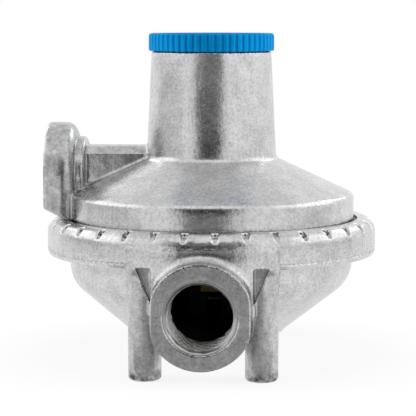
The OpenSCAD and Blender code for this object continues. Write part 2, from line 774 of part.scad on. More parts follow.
module relief_nut() {
    color([0.72, 0.72, 0.70]) translate([0, 0, relief_nut_z]) difference() {
        cylinder(r = relief_nut_af / 2 / cos(30), h = relief_nut_t, $fn = 6);
        translate([0, 0, -over]) cylinder(r = post_r, h = relief_nut_t + 2 * over);
    }
}

// ---- main spring, adjuster and cap --------------------------------------------------

module main_spring() {
    color([0.62, 0.63, 0.64]) coil(coil_r, coil_wire, coil_turns, plate_top, seat_bottom);
}

module upper_spring_seat() {
    color([0.66, 0.66, 0.64]) union() {
        translate([0, 0, seat_bottom]) cylinder(r = tower_bore_r - seat_gap, h = seat_t);
        ring_on(seat_bottom - locator_h, locator_r, locator_w, locator_h + bond);
    }
}

module adjusting_screw() {
    color([0.86, 0.86, 0.84]) translate([0, 0, screw_bottom]) difference() {
        cylinder(r = thread_r, h = screw_t);
        translate([0, 0, -over])
            cylinder(r = screw_af / 2 / cos(30), h = screw_t + 2 * over, $fn = 6);
    }
}

module cap_gasket() {
    color([0.08, 0.08, 0.09]) ring_on(tower_top, thread_r + gasket_gap + gasket_w, gasket_w, gasket_t);
}

module closing_cap() {
    cap_top = gasket_z + cap_h;
    color([0.01, 0.47, 0.80]) difference() {
        rotate_extrude() polygon(concat(
            [[0, plug_bottom], [thread_r, plug_bottom], [thread_r, gasket_z], [cap_r, gasket_z]],
            arc([cap_r - cap_round, cap_top - cap_round], cap_round, 0, 90),
            [[cap_r - cap_dish_edge, cap_top]],
            [[cap_r - cap_dish_edge - cap_dish_d, cap_top - cap_dish_d], [0, cap_top - cap_dish_d]]
        ));
        for (i = [0:flute_count - 1]) rotate([0, 0, i * 360 / flute_count])
            translate([cap_r + flute_r - flute_d, 0, gasket_z - over])
                cylinder(r = flute_r, h = cap_h + 2 * over, $fn = 24);
        translate([0, 0, plug_bottom - over])
            cylinder(r = thread_r - plug_wall, h = cap_top - cap_dish_d - cap_top_t - plug_bottom + over);
    }
}

// ---- lever and valve ----------------------------------------------------------------

module inlet_orifice() {
    color([0.82, 0.66, 0.32]) difference() {
        union() {
            flare_y(orifice_seat_r, orifice_tip, orifice_hex_y, port_z, orifice_cone_l);
            translate([0, orifice_hex_y, port_z]) rotate([-90, 0, 0])
                cylinder(r = orifice_af / 2 / cos(30), h = orifice_hex_t, $fn = 6);
            along_y(orifice_shank_r, orifice_face - bond, inlet_end - orifice_setback, port_z);
        }
        along_y(orifice_bore_r, orifice_tip - over, inlet_end + over, port_z);
    }
}

module valve_disc() {
    color([0.09, 0.09, 0.10]) along_y(disc_r, disc_y, disc_face, port_z);
}

module disc_holder() {
    color([0.80, 0.66, 0.36]) difference() {
        union() {
            translate([-bar_half_w, pivot_y - bar_tail, port_z - bar_half_h])
                cube([2 * bar_half_w, bar_tail + head_y + bond, 2 * bar_half_h]);
            along_y(head_r, holder_y, holder_y + head_t, port_z);
        }
        along_y(disc_r, disc_y, holder_y + head_t + over, port_z);
        translate([-cheek_in, pivot_y - slot_half, port_z - 2 * bar_half_h])
            cube([2 * cheek_in, 2 * slot_half, 4 * bar_half_h]);
    }
}

module lever() {
    stem_top = arm_z + lever_t / 2;
    color([0.64, 0.65, 0.66]) difference() {
        union() {
            for (part = [[pivot_z, hub_r], [port_z, nose_r]])
                translate([-lever_w / 2, pivot_y, part[0]]) rotate([0, 90, 0])
                    cylinder(r = part[1], h = lever_w);
            translate([-lever_w / 2, pivot_y - lever_stem_t / 2, pivot_z])
                cube([lever_w, lever_stem_t, stem_top - pivot_z]);
            translate([-lever_w / 2, -lever_past, stem_top - lever_t])
                cube([lever_w, pivot_y + lever_past, lever_t]);
        }
        translate([-lever_w, pivot_y, pivot_z]) rotate([0, 90, 0])
            cylinder(r = pin_r + pin_gap, h = 2 * lever_w);
    }
}

module lever_pin() {
    color([0.60, 0.61, 0.62]) translate([-cheek_out, pivot_y, pivot_z]) rotate([0, 90, 0])
        cylinder(r = pin_r, h = 2 * cheek_out);
}

body_casting();
bonnet_casting();
vent_screen();
vent_ring();
diaphragm();
diaphragm_plate();
pusher_post();
relief_spring();
relief_seat();
relief_nut();
main_spring();
upper_spring_seat();
adjusting_screw();
cap_gasket();
closing_cap();
inlet_orifice();
valve_disc();
disc_holder();
lever();
lever_pin();
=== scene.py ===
"""Looks of a small die-cast propane regulator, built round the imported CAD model.

Lengths are in mm and become metres when a mesh is made. The frame is the CAD model's: the floor
is z = 0, the diaphragm's axis is Z, the outlet looks along -Y and the vent along -X.
"""

from math import asin, atan, ceil, cos, degrees, hypot, pi, radians, sin, sqrt, tan

import bpy
import numpy as np
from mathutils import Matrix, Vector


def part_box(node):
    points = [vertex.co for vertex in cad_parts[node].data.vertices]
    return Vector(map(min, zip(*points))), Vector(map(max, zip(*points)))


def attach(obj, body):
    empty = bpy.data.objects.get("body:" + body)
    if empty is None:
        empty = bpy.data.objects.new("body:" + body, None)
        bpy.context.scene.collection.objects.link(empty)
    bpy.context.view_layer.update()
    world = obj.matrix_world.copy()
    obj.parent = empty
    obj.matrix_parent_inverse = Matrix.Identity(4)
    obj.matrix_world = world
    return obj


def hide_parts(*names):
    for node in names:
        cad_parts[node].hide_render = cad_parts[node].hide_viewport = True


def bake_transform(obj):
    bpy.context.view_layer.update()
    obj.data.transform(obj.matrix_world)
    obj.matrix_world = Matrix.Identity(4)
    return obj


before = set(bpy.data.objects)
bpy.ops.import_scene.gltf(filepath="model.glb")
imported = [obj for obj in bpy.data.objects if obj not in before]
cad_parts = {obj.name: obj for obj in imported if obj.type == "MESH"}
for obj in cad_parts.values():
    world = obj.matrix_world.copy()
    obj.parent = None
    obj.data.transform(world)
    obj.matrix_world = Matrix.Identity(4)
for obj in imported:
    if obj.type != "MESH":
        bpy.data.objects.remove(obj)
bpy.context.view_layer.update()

import openvdb
from mathutils import Vector

MM = 0.001
TURN = 2 * pi
SMALL_R = 0.3  # of the castings' small edges and fillets
TURNED_EDGE_R = 0.35  # of rim and tower
OVER = 3.0  # reach of a cut past what it cuts


def node_box(name):
    """Lowest and highest corner of a CAD node, in mm."""
    low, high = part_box(name)
    return [value / MM for value in low], [value / MM for value in high]


# ---- sizes, as in the CAD model

_, (_, PORT_Y, LIP_TOP) = node_box("body_casting")
(VENT_LOW_X, _, CLAMP_Z), (_, _, TOWER_TOP) = node_box("bonnet_casting")
_, (CAP_R, _, CAP_TOP) = node_box("closing_cap")
_, (GASKET_R, _, GASKET_TOP) = node_box("cap_gasket")

# Case
RIM_R = 41.25
RIM_Z = 26.4
RIM_BEVEL = (0.35, 1.15)  # width and height
SEAM_D = 0.26  # of the parting seam above that bevel
UNDER_RIM_R = 0.5
RIM_BORE = RIM_R - 2.15
LEDGE_Z = CLAMP_Z - 1.0
LIP_Z = LIP_TOP - 1.6
LIP_ROUND = 3.4
FLANGE_R = RIM_BORE - 0.1
NOTCHES = 34
NOTCH_FIRST = 4.45  # degrees from the outlet's axis
NOTCH_LOW = 33  # degrees up the lip's rounding, of a notch's lower end
NOTCH_END_R = (0.85, 0.55)  # radius of its upper and lower end
NOTCH_L = 1.5  # between the centres of those ends
NOTCH_EXTRA = 1.6  # added over the pads
NOTCH_D = 1.1
NOTCH_LEAN = 0.25  # depth lost for each mm down the lip
NOTCH_EDGE_R = 0.5

# Bowl, feet and bosses
BOWL_R = RIM_R - 5.75
BOWL_WALL = 2.8
BOWL_BASE_Z = 5.1
BOWL_BASE_R = 18.0
BOWL_BASE_ROUND = 1.5
BOWL_SLOPE = 40.5
BOWL_CORNER_R = 8.5
FOOT_R = 4.05
FOOT_TIP_R = 3.92
FOOT_ROUND = 1.0
FOOT_FILLET = 1.0
FOOT_SUNK = 1.0  # into the rim
FOOT_X = 13.8
FOOT_Y = sqrt((RIM_R - 4.28) ** 2 - FOOT_X ** 2)
PORT_Z = 16.55
BOSS_R = 12.5
BOSS_FLAT = 11.6
BOSS_ROUND = (0.8, 0.3)  # along its flats and round its face
KEEL_FILLET = (0.6, 2.0)  # below the ports' axis, and from that axis up
KEEL_FILLET_H = 6.0  # height over which it grows
WEB_HALF_W = BOSS_FLAT + 0.4
POCKET_W = 3.6
POCKET_H = 8.6
POCKET_TOP = RIM_Z + 0.6
POCKET_Y = FOOT_Y + FOOT_R - 1.3
POCKET_BACK_R = 0.4
PAD_HALF_W = 17.8
PAD_R = RIM_R + 0.4
PAD_FADE = (RIM_Z + 2.1, RIM_Z + 5.4)  # where a pad runs out
PAD_BOTTOM = RIM_Z + 0.3
PAD_FOOT_Z = RIM_Z - 4.4  # where a pad's underside meets the bowl
PAD_BACK_R = BOWL_R - 0.3
BASE_SHIFT = 1.3  # of the bowl's base towards the vent
BASE_SHIFT_Z = 24.0  # up to this height

# Valve guide
CHEEK_X, CHEEK_HALF_W = 4.2, 2.4
CHEEK_Y, CHEEK_HALF_L = 16.5, 3.5
CHEEK_H = 2.45  # above the ports' axis
ORIFICE_BOSS_R = 7.4
ORIFICE_BOSS_Y, ORIFICE_BOSS_HALF_L = 30.5, 4.0

# Ports: the thread's crest and root radius and depth, the mouth's chamfer, the radius of the
# passage behind it and where that ends
THREAD_PITCH = 25.4 / 18
THREAD_ROOM = 0.12  # between its root and the casting's bore
THREAD_TAPER = 1 / 32  # on the radius
MOUTH_R = 0.2
OUTLET = dict(crest=7.6, root=8.57, depth=14.0, chamfer=1.3, passage=7.6, end=PORT_Y - 18.0)
INLET = dict(crest=5.65, root=6.6, depth=13.0, chamfer=1.35, passage=4.0, end=18.0)

# Bonnet
BONNET_R = RIM_R - 5.45
BONNET_BORE = BONNET_R - 2.8
LIP_R = BONNET_R + 0.9
EDGE_Z = CLAMP_Z + 10.1
EDGE_R = 1.4
CONE_SLOPE = radians(25)
CONE_WALL = 2.5
TOWER_R = (16.3, 15.0)  # at its foot and at its top
TOWER_FOOT_Z = EDGE_Z + (BONNET_R - TOWER_R[0]) * tan(CONE_SLOPE)
TOWER_FILLET = 1.8
TOWER_BORE = 12.55
TOWER_RIM_Z = TOWER_TOP + 0.3

# Vent
VENT_Z = CLAMP_Z + 15.3
VENT_X = -VENT_LOW_X
VENT_R = 12.6
VENT_BACK = VENT_X - 7.2
VENT_BOTTOM = LIP_TOP - 0.3  # next to the bonnet's wall
VENT_BOTTOM_RISE = 0.5
NECK_R = 9.0
NECK_X = VENT_BACK - 2.4
NECK_ROUND = 1.0
VENT_ROUND = (3.0, 0.6)  # of the flange's back and of its face
VENT_FILLET = (0.6, 0.7, 0.9)  # duct to neck, both to the flange, and all to the bonnet
DUCT_HALF_W = 5.0
DUCT_TOP = VENT_Z + 6.8
DUCT_BEVEL = 1.8
VENT_BORE = 3.2
VENT_PAST = 2.0  # reach of that bore into the tower
RECESS_R = 8.0
RECESS_X = VENT_X - 2.7  # of its floor
SCREEN_T = 0.4
SCREEN_PITCH = 0.875
SCREEN_WIRE_R = 0.1
SCREEN_LIFT = 0.1  # sway of a wire through the cloth
RING_T = 0.8
RING_W = 1.1
RING_GAP = 36  # degrees
LUG_R = 1.3
LUG_W = 1.5

# Diaphragm, springs and valve
DIAPHRAGM_T = 1.0
DIAPHRAGM_HOLE = 3.38
HANG_Z = LEDGE_Z - 1.0
ROLL_R = 3.2
ROLL_X = BONNET_BORE - 0.1 - ROLL_R - DIAPHRAGM_T / 2
SPLIT = 0.03  # half the height in which the diaphragm splits
COIL_END_GAP = 0.5
SEAT_MARK = (1.5, 2.2)  # radii of the ring pressed into the valve's disc

# Cap and adjuster
CAP_Z = GASKET_TOP
COARSE_PITCH = 1.5
ADJUSTER_Z = [corner[2] for corner in node_box("adjusting_screw")]
SOCKET_AF = 11.0
PLUG_R = TOWER_BORE - 0.05
PLUG_Z = CAP_Z - 6.0
FLUTES = 56
FLUTE_R = 0.5
FLUTE_D = 0.3

# Painted shade on the castings, which also dulls their skin
DULL_SHADE_FEET = 0.10
DULL_SHADE_TIPS = 0.45  # on top of that, painted contact shade at the floor
DULL_SHADE_TIP_H = 3.0
DULL_SHADE_VENT = 0.16
DULL_SHADE_ROOM = 0.5  # reach of the inside's painted shade past its edges
DULL_SHADE_PORT_DEPTH = 2.0

# ---- camera

CAMERA_AT = (26.1, -459.3, 85.2)
CAMERA_TURN = 3.36  # degrees from +Y towards -X
CAMERA_DOWN = 5.95  # degrees below level
CAMERA_FOV = 12.97  # degrees across the square picture


def in_scene(name, data):
    thing = bpy.data.objects.new(name, data)
    bpy.context.scene.collection.objects.link(thing)
    return thing


def make_camera():
    data = bpy.data.cameras.new("camera")
    data.lens_unit = "FOV"
    data.angle = radians(CAMERA_FOV)
    data.clip_start, data.clip_end = 0.01, 10.0
    camera = in_scene("camera", data)
    camera.location = Vector(CAMERA_AT) * MM
    camera.rotation_euler = (radians(90 - CAMERA_DOWN), 0, radians(CAMERA_TURN))
    bpy.context.scene.camera = camera


# ---- signed distances: negative inside, in mm

def joined(a, b, r=SMALL_R):
    """Both forms, with a fillet of radius r in the corner between them."""
    u = np.maximum(r - a, 0)
    v = np.maximum(r - b, 0)
    return np.maximum(r, np.minimum(a, b)) - np.sqrt(u * u + v * v)


def shared(a, b, r=SMALL_R):
    """What both forms share, with rounded new edges."""
    return -joined(-a, -b, r)


def cut(a, b, r=SMALL_R):
    """Form a without form b, with rounded new edges."""
    return shared(a, -b, r)


both = np.maximum  # what two forms share, with sharp edges
either = np.minimum  # two forms, with sharp corners


def part_way(value, start, end):
    """How far a value has got from start to end, 0 to 1."""
    return np.clip((value - start) / (end - start), 0, 1)


def polygon_distance(x, y, points):
    """Signed distance from (x, y) to a closed outline."""
    best = np.full(np.broadcast(x, y).shape, 1e9, dtype=np.float32)
    inside = np.zeros(best.shape, dtype=bool)
    for (ax, ay), (bx, by) in zip(points, points[1:] + points[:1]):
        ex, ey = bx - ax, by - ay
        t = np.clip(((x - ax) * ex + (y - ay) * ey) / max(ex * ex + ey * ey, 1e-12), 0, 1)
        best = np.minimum(best, (x - ax - t * ex) ** 2 + (y - ay - t * ey) ** 2)
        if ay != by:
            crossing = (ay > y) != (by > y)
            inside ^= crossing & (x < ax + (y - ay) * ex / ey)
    return np.where(inside, -1, 1) * np.sqrt(best)


def arc(cx, cy, r, start, end, steps=10):
    turns = [radians(start + (end - start) * i / steps) for i in range(steps + 1)]
    return [(cx + r * cos(t), cy + r * sin(t)) for t in turns]


def rounded(corners, steps=5):
    """A closed outline from corners of (x, y, radius)."""
    points = []
    for i, (x, y, r) in enumerate(corners):
        if r == 0:
            points.append((x, y))
            continue
        here = Vector((x, y))
        back = (Vector(corners[i - 1][:2]) - here).normalized()
        on = (Vector(corners[(i + 1) % len(corners)][:2]) - here).normalized()
        half = back.angle(on) / 2
        first = here + back * (r / tan(half))
        last = here + on * (r / tan(half))
        centre = here + (back + on).normalized() * (r / sin(half))
        for k in range(steps + 1):
            way = (first - centre).lerp(last - centre, k / steps).normalized()
            points.append(tuple(centre + way * r))
    return points


TABLE_STEP = 0.1
TABLE_ROOM = 4.0


class Turned:
    """Signed distance of a turned outline of (radius, height), read from a fine grid."""

    def __init__(self, outline):
        reach = max(p[0] for p in outline) + TABLE_ROOM
        self.low = min(p[1] for p in outline) - TABLE_ROOM
        high = max(p[1] for p in outline) + TABLE_ROOM
        radii = np.arange(0, reach, TABLE_STEP, dtype=np.float32)
        heights = np.arange(self.low, high, TABLE_STEP, dtype=np.float32)
        self.table = polygon_distance(radii[:, None], heights[None, :], outline)

    def __call__(self, radius, height):
        i, u = self.place(radius / TABLE_STEP, 0)
        j, v = self.place((height - self.low) / TABLE_STEP, 1)
        near = self.table[i, j] * (1 - u) + self.table[i + 1, j] * u
        far = self.table[i, j + 1] * (1 - u) + self.table[i + 1, j + 1] * u
        return near * (1 - v) + far * v

    def place(self, value, side):
        value = np.clip(value, 0, self.table.shape[side] - 1.001)
        low = value.astype(np.int32)
        return low, (value - low).astype(np.float32)


# ---- body casting

def bowl_corner():
    rise = (BOWL_R - BOWL_BASE_R) * tan(radians(BOWL_SLOPE))
    lift = BOWL_CORNER_R * tan(radians(90 - BOWL_SLOPE) / 2)
    return BOWL_R - BOWL_CORNER_R, BOWL_BASE_Z + rise + lift


def case_outline():
    """Bowl, rim and folded lip in section, filled."""
    seam_z = RIM_Z + RIM_BEVEL[1]
    bevel = (RIM_R - RIM_BEVEL[0], RIM_Z, TURNED_EDGE_R)
    corner_x, corner_z = bowl_corner()
    base = (BOWL_BASE_R, BOWL_BASE_Z, BOWL_BASE_ROUND)
    base = rounded([(0, BOWL_BASE_Z, 0), base, (corner_x, corner_z, 0)])
    return (
        base[:-1]
        + arc(corner_x, corner_z, BOWL_CORNER_R, BOWL_SLOPE - 90, 0)
        + arc(BOWL_R + UNDER_RIM_R, RIM_Z - UNDER_RIM_R, UNDER_RIM_R, 180, 90, 4)
        + rounded([(0, RIM_Z, 0), bevel, (RIM_R, seam_z, 0)])[1:-1]
        + [(RIM_R, seam_z), (RIM_R - SEAM_D, seam_z + SEAM_D), (RIM_R, seam_z + 2 * SEAM_D)]
        + arc(RIM_R - LIP_ROUND, LIP_TOP - LIP_ROUND, LIP_ROUND, 0, 90)
        + [(0, LIP_TOP)]
    )


def cavity_outline():
    """Room in the body: bowl, diaphragm seat and groove under the lip."""
    corner_x, corner_z = bowl_corner()
    slope = radians(BOWL_SLOPE)
    floor_z = BOWL_BASE_Z + BOWL_WALL
    floor_r = BOWL_BASE_R + BOWL_WALL / tan(slope) - BOWL_WALL / sin(slope)
    return (
        [(0, floor_z), (floor_r, floor_z)]
        + arc(corner_x, corner_z, BOWL_CORNER_R - BOWL_WALL, BOWL_SLOPE - 90, 0)
        + [(BOWL_R - BOWL_WALL, LEDGE_Z), (RIM_BORE, LEDGE_Z), (RIM_BORE, LIP_Z), (LIP_R, LIP_Z)]
        + [(LIP_R, LIP_TOP + OVER), (0, LIP_TOP + OVER)]
    )


def port_outline(port):
    """Bore of a port against depth, just clear of its thread's root."""
    mouth = port["crest"] + port["chamfer"]
    bore = port["root"] + THREAD_ROOM
    return [
        (0, -OVER), (mouth, -OVER), (mouth, 0), (bore, mouth - bore),
        (bore - port["depth"] * THREAD_TAPER, port["depth"]), (port["passage"], port["depth"]),
        (port["passage"], port["end"]), (0, port["end"]),
    ]


case = Turned(case_outline())
cavity = Turned(cavity_outline())
outlet_bore = Turned(port_outline(OUTLET))
inlet_bore = Turned(port_outline(INLET))


def off_port_axis(x, z):
    return np.hypot(x, z - PORT_Z)


def feet(x, y, z):
    taper = FOOT_TIP_R + (FOOT_R - FOOT_TIP_R) * part_way(z, 0, RIM_Z)
    side = np.hypot(abs(x) - FOOT_X, abs(y) - FOOT_Y) - taper
    return both(shared(side, -z, FOOT_ROUND), z - RIM_Z - FOOT_SUNK)


def keel(x, y, z):
    """The two port bosses and what joins them under the bowl."""
    drum = off_port_axis(x, z) - BOSS_R
    flats = shared(drum, abs(x) - BOSS_FLAT, BOSS_ROUND[0])
    return shared(flats, abs(y) - PORT_Y, BOSS_ROUND[1])


def web(x, y, z, r):
    """Fills the corners between the bosses and the pads."""
    sides = both(abs(x) - WEB_HALF_W, r - PAD_R)
    return both(sides, both(PORT_Z - z, z - PAD_FADE[0]))


def pads(x, y, z, r):
    """Flat pads on the rim over bosses and feet, which run out above and below."""
    fade = part_way(z, *PAD_FADE)
    front = r - PAD_R + (PAD_R - RIM_R) * fade * fade * (3 - 2 * fade)
    sides = shared(front, abs(x) - PAD_HALF_W)
    below = (PAD_BOTTOM - z + r - PAD_R) / sqrt(2)
    below = both(below, both(PAD_BACK_R - r, PAD_FOOT_Z - z))
    return both(sides, both(below, z - PAD_FADE[1]))


def pockets(x, y, z):
    """Three-cornered pockets between the bosses and the feet."""
    lean = hypot(POCKET_H, POCKET_W)
    slant = ((abs(x) - WEB_HALF_W) * POCKET_H - (z - POCKET_TOP + POCKET_H) * POCKET_W) / lean
    hole = shared(WEB_HALF_W - abs(x), slant)
    hole = shared(hole, z - POCKET_TOP)
    return shared(hole, POCKET_Y - abs(y), POCKET_BACK_R)


def drop(u, v, top_r, low_r, length):
    """A drop: a circle at the origin, one at -length along v, and what joins them."""
    narrowing = (low_r - top_r) / length
    side = np.sqrt(1 - narrowing ** 2)
    u = abs(u)
    along = narrowing * u - side * v
    flank = side * u + narrowing * v - top_r
    ends = np.where(along < 0, np.hypot(u, v) - top_r, np.hypot(u, v + length) - low_r)
    return np.where((along >= 0) & (along <= side * length), flank, ends)


def notches(x, y, z, r):
    """Drop-shaped stake notches round the lip, longer over the pads."""
    sector = TURN / NOTCHES
    turn = np.arctan2(y, x) - radians(NOTCH_FIRST - 90)
    turn = np.mod(turn + sector / 2, sector) - sector / 2
    out, up = r - RIM_R + LIP_ROUND, z - LIP_TOP + LIP_ROUND
    length = NOTCH_L + NOTCH_EXTRA * (abs(x) < PAD_HALF_W)
    tip = LIP_ROUND * (np.arctan2(up, out) - radians(NOTCH_LOW)) - length
    floor = NOTCH_D + NOTCH_LEAN * np.minimum(tip, 0) + np.hypot(out, up) - LIP_ROUND
    return shared(drop(r * np.sin(turn), tip, *NOTCH_END_R, length), -floor)


def valve_guide(x, y, z):
    """Cheeks that guide the disc holder, and the boss round the orifice's pocket."""
    across = abs(abs(x) - CHEEK_X) - CHEEK_HALF_W
    cheeks = both(across, abs(y - CHEEK_Y) - CHEEK_HALF_L)
    boss_r = off_port_axis(x, z) - ORIFICE_BOSS_R
    boss = both(boss_r, abs(y - ORIFICE_BOSS_Y) - ORIFICE_BOSS_HALF_L)
    return either(both(cheeks, z - PORT_Z - CHEEK_H), boss)


def body_distance(x, y, z):
    r = np.sqrt(x * x + y * y)
    lean = BASE_SHIFT * part_way(z, BASE_SHIFT_Z, BOWL_BASE_Z)
    solid = case(r + lean * x / np.maximum(r, 1), z)
    solid = joined(solid, pads(x, y, z, r))
    solid = either(solid, web(x, y, z, r))
    solid = joined(solid, feet(x, y, z), FOOT_FILLET)
    low, high = KEEL_FILLET
    fillet = low + (high - low) * np.clip((z - PORT_Z) / KEEL_FILLET_H + 1, 0, 1)
    solid = joined(solid, keel(x, y, z), fillet)
    solid = cut(solid, cavity(r, z))
    solid = either(solid, both(valve_guide(x, y, z), BOWL_BASE_Z + 1 - z))
    solid = cut(solid, notches(x, y, z, r), NOTCH_EDGE_R)
    solid = cut(solid, pockets(x, y, z))
    across = off_port_axis(x, z)
    solid = cut(solid, outlet_bore(across, y + PORT_Y), MOUTH_R)
    return cut(solid, inlet_bore(across, PORT_Y - y), MOUTH_R)


def body_painted_shade(x, y, z):
    """Painted shade, which also dulls the skin: 1 in the case and the ports, and some on feet and
    bosses.
    """
    in_case = (cavity(np.hypot(x, y), z) < DULL_SHADE_ROOM) & (z < LIP_Z)
    in_bore = off_port_axis(x, z) < OUTLET["root"] + DULL_SHADE_ROOM
    in_port = in_bore & (abs(y) < PORT_Y - DULL_SHADE_PORT_DEPTH)
    lower = either(feet(x, y, z), keel(x, y, z))
    # darker on feet and bosses, and darkest at the feet's tips as painted contact shade by the
    # floor
    dull_shade = DULL_SHADE_FEET * np.clip(1 - lower, 0, 1) + DULL_SHADE_TIPS * part_way(z, DULL_SHADE_TIP_H, 0)
    return np.where(in_case | in_port, 1, dull_shade)


# ---- bonnet casting

def tower_fillet():
    """Arc in the corner between the cone and the tower, from the cone up."""
    draft = atan((TOWER_R[0] - TOWER_R[1]) / (TOWER_TOP - TOWER_FOOT_Z))
    half = (pi / 2 + CONE_SLOPE + draft) / 2
    down = Vector((cos(CONE_SLOPE), -sin(CONE_SLOPE)))
    up = Vector((-sin(draft), cos(draft)))
    middle = (down + up).normalized() * (TOWER_FILLET / sin(half))
    centre = Vector((TOWER_R[0], TOWER_FOOT_Z)) + middle
    return arc(*centre, TOWER_FILLET, 270 - degrees(CONE_SLOPE), 180 + degrees(draft))


def bonnet_outline():
    edge = EDGE_R * tan((pi / 2 - CONE_SLOPE) / 2)
    rim = (TOWER_R[1], TOWER_RIM_Z, TURNED_EDGE_R)
    top = rounded([(TOWER_R[0], TOWER_FOOT_Z, 0), rim, (0, TOWER_RIM_Z, 0)])
    return (
        [(0, CLAMP_Z), (FLANGE_R, CLAMP_Z), (FLANGE_R, LIP_Z), (BONNET_R, LIP_Z)]
        + arc(BONNET_R - EDGE_R, EDGE_Z - edge, EDGE_R, 0, 90 - degrees(CONE_SLOPE), 6)
        + tower_fillet()
        + top[1:]
    )


def bonnet_room():
    wall_h = CONE_WALL / cos(CONE_SLOPE)
    edge_z = EDGE_Z + (BONNET_R - BONNET_BORE) * tan(CONE_SLOPE) - wall_h
    neck_z = EDGE_Z + (BONNET_R - TOWER_BORE) * tan(CONE_SLOPE) - wall_h
    return [
        (0, CLAMP_Z - OVER), (BONNET_BORE, CLAMP_Z - OVER), (BONNET_BORE, edge_z),
        (TOWER_BORE, neck_z), (TOWER_BORE, TOWER_TOP + OVER), (0, TOWER_TOP + OVER),
    ]


bonnet_shell = Turned(bonnet_outline())
bonnet_inside = Turned(bonnet_room())


def vent_flange(x, y, z):
    """Round above its axis and square below, down to the lip."""
    side = np.where(z > VENT_Z, np.hypot(y, z - VENT_Z), abs(y)) - VENT_R
    back_r, face_r = VENT_ROUND
    flange = shared(side, VENT_BACK + x, back_r)
    flange = shared(flange, -x - VENT_X, face_r)
    lowest = VENT_BOTTOM + VENT_BOTTOM_RISE * np.maximum(np.hypot(x, y) - LIP_R, 0)
    return shared(flange, (lowest - z) / hypot(1, VENT_BOTTOM_RISE), face_r)


def vent_duct(x, y, z):
    side, top = abs(y) - DUCT_HALF_W, z - DUCT_TOP
    walls = both(both(side, top), (side + top + DUCT_BEVEL) / sqrt(2))
    return both(both(walls, -x - VENT_BACK - 1), x + TOWER_BORE)


def bonnet_distance(x, y, z):
    r = np.sqrt(x * x + y * y)
    across = np.hypot(y, z - VENT_Z)
    neck = shared(across - NECK_R, NECK_X + x, NECK_ROUND)
    neck = both(neck, -x - VENT_BACK - 3.5)
    neck_r, flange_r, shell_r = VENT_FILLET
    vent = joined(vent_duct(x, y, z), neck, neck_r)
    vent = joined(vent, vent_flange(x, y, z), flange_r)
    vent = both(vent, LIP_Z - z)
    solid = joined(bonnet_shell(r, z), vent, shell_r)
    solid = cut(solid, bonnet_inside(r, z))
    solid = cut(solid, both(across - VENT_BORE, x + TOWER_BORE - VENT_PAST))
    return cut(solid, both(across - RECESS_R, x + RECESS_X))


def bonnet_painted_shade(x, y, z):
    """Painted shade, which also dulls the skin: 1 in the bonnet and the vent's passage, and some
    on the vent.
    """
    across = np.hypot(y, z - VENT_Z)
    in_room = (bonnet_inside(np.hypot(x, y), z) < DULL_SHADE_ROOM) & (z < TOWER_TOP - 1)
    in_bore = (across < VENT_BORE + DULL_SHADE_ROOM) & (x > DULL_SHADE_ROOM - RECESS_X)
    in_vent = in_bore & (x < VENT_PAST - TOWER_BORE)
    neck = both(across - NECK_R, NECK_X + x)
    vent = either(either(vent_duct(x, y, z), vent_flange(x, y, z)), neck)
    # the vent a little darker, as painted shade
    return np.where(in_room | in_vent, 1, DULL_SHADE_VENT * np.clip(1 - vent, 0, 1))


# ---- meshes

STEP = 0.3  # grid step, in mm
BLOCK = 4  # grid steps along one block
FAR = 2 * STEP  # distance given away from the surface, and the grid's room round a casting
ADAPT = 0.012  # how readily flat stretches share large faces
BATCH = 4000  # blocks worked out at a time
SLOPE_REACH = 0.03
EDGE_REACH = 0.6
OFF_FACE = cos(radians(14))  # a corner that leans further is corrected
FITS_FACE = cos(radians(25))
INTO_FACE = 0.4  # share of the way to the face's centre
SHARP = radians(38)  # bend of an edge


def distance_grid(distance, low, high):
    """Distances on a grid that starts at low. Only blocks near the surface are worked out."""
    size = BLOCK * STEP
    counts = [ceil((b - a) / size) for a, b in zip(low, high)]
    starts = [a + size * np.arange(n, dtype=np.float32) for a, n in zip(low, counts)]
    x, y, z = (start + size / 2 for start in starts)
    middle = distance(x[:, None, None], y[None, :, None], z[None, None, :])
    field = np.empty([n for count in counts for n in (count, BLOCK)], dtype=np.float32)
    field[:] = np.where(middle > 0, FAR, -FAR)[:, None, :, None, :, None]
    offset = STEP * np.arange(BLOCK, dtype=np.float32)
    near = np.argwhere(abs(middle) < 1.5 * size)
    for i, j, k in (part.T for part in np.array_split(near, 1 + len(near) // BATCH)):
        x = starts[0][i][:, None, None, None] + offset[:, None, None]
        y = starts[1][j][:, None, None, None] + offset[:, None]
        z = starts[2][k][:, None, None, None] + offset
        field[i, :, j, :, k, :] = distance(x, y, z)
    return field.reshape([count * BLOCK for count in counts])


def slope_at(distance, points):
    """Unit slope of a distance at each point."""
    slope = np.stack([
        distance(*(points + step).T) - distance(*(points - step).T)
        for step in SLOPE_REACH * np.eye(3)
    ], 1)
    return slope / np.maximum(np.linalg.norm(slope, axis=1), 1e-6)[:, None]


def edge_at(distance, points):
    """1 on a sharp outer edge, 0 on a flat stretch and -1 in a sharp corner."""
    x, y, z = points.T
    total = -6 * distance(x, y, z)
    for d in (-EDGE_REACH, EDGE_REACH):
        total += distance(x + d, y, z) + distance(x, y + d, z) + distance(x, y, z + d)
    return np.clip(total / EDGE_REACH, -1, 1)


def read(items, name, kind, width=1):
    """One named value of every corner or face of a mesh."""
    values = np.empty(width * len(items), dtype=kind)
    items.foreach_get(name, values)
    return values.reshape(-1, width) if width > 1 else values


def read_faces(mesh):
    """Each face corner's point and face, and each face's slope and centre."""
    corner_point = read(mesh.loops, "vertex_index", np.int32)
    sides = read(mesh.polygons, "loop_total", np.int32)
    normals = read(mesh.polygons, "normal", np.float32, 3)
    centres = read(mesh.polygons, "center", np.float32, 3)
    return corner_point, np.repeat(np.arange(len(sides)), sides), normals, centres / MM


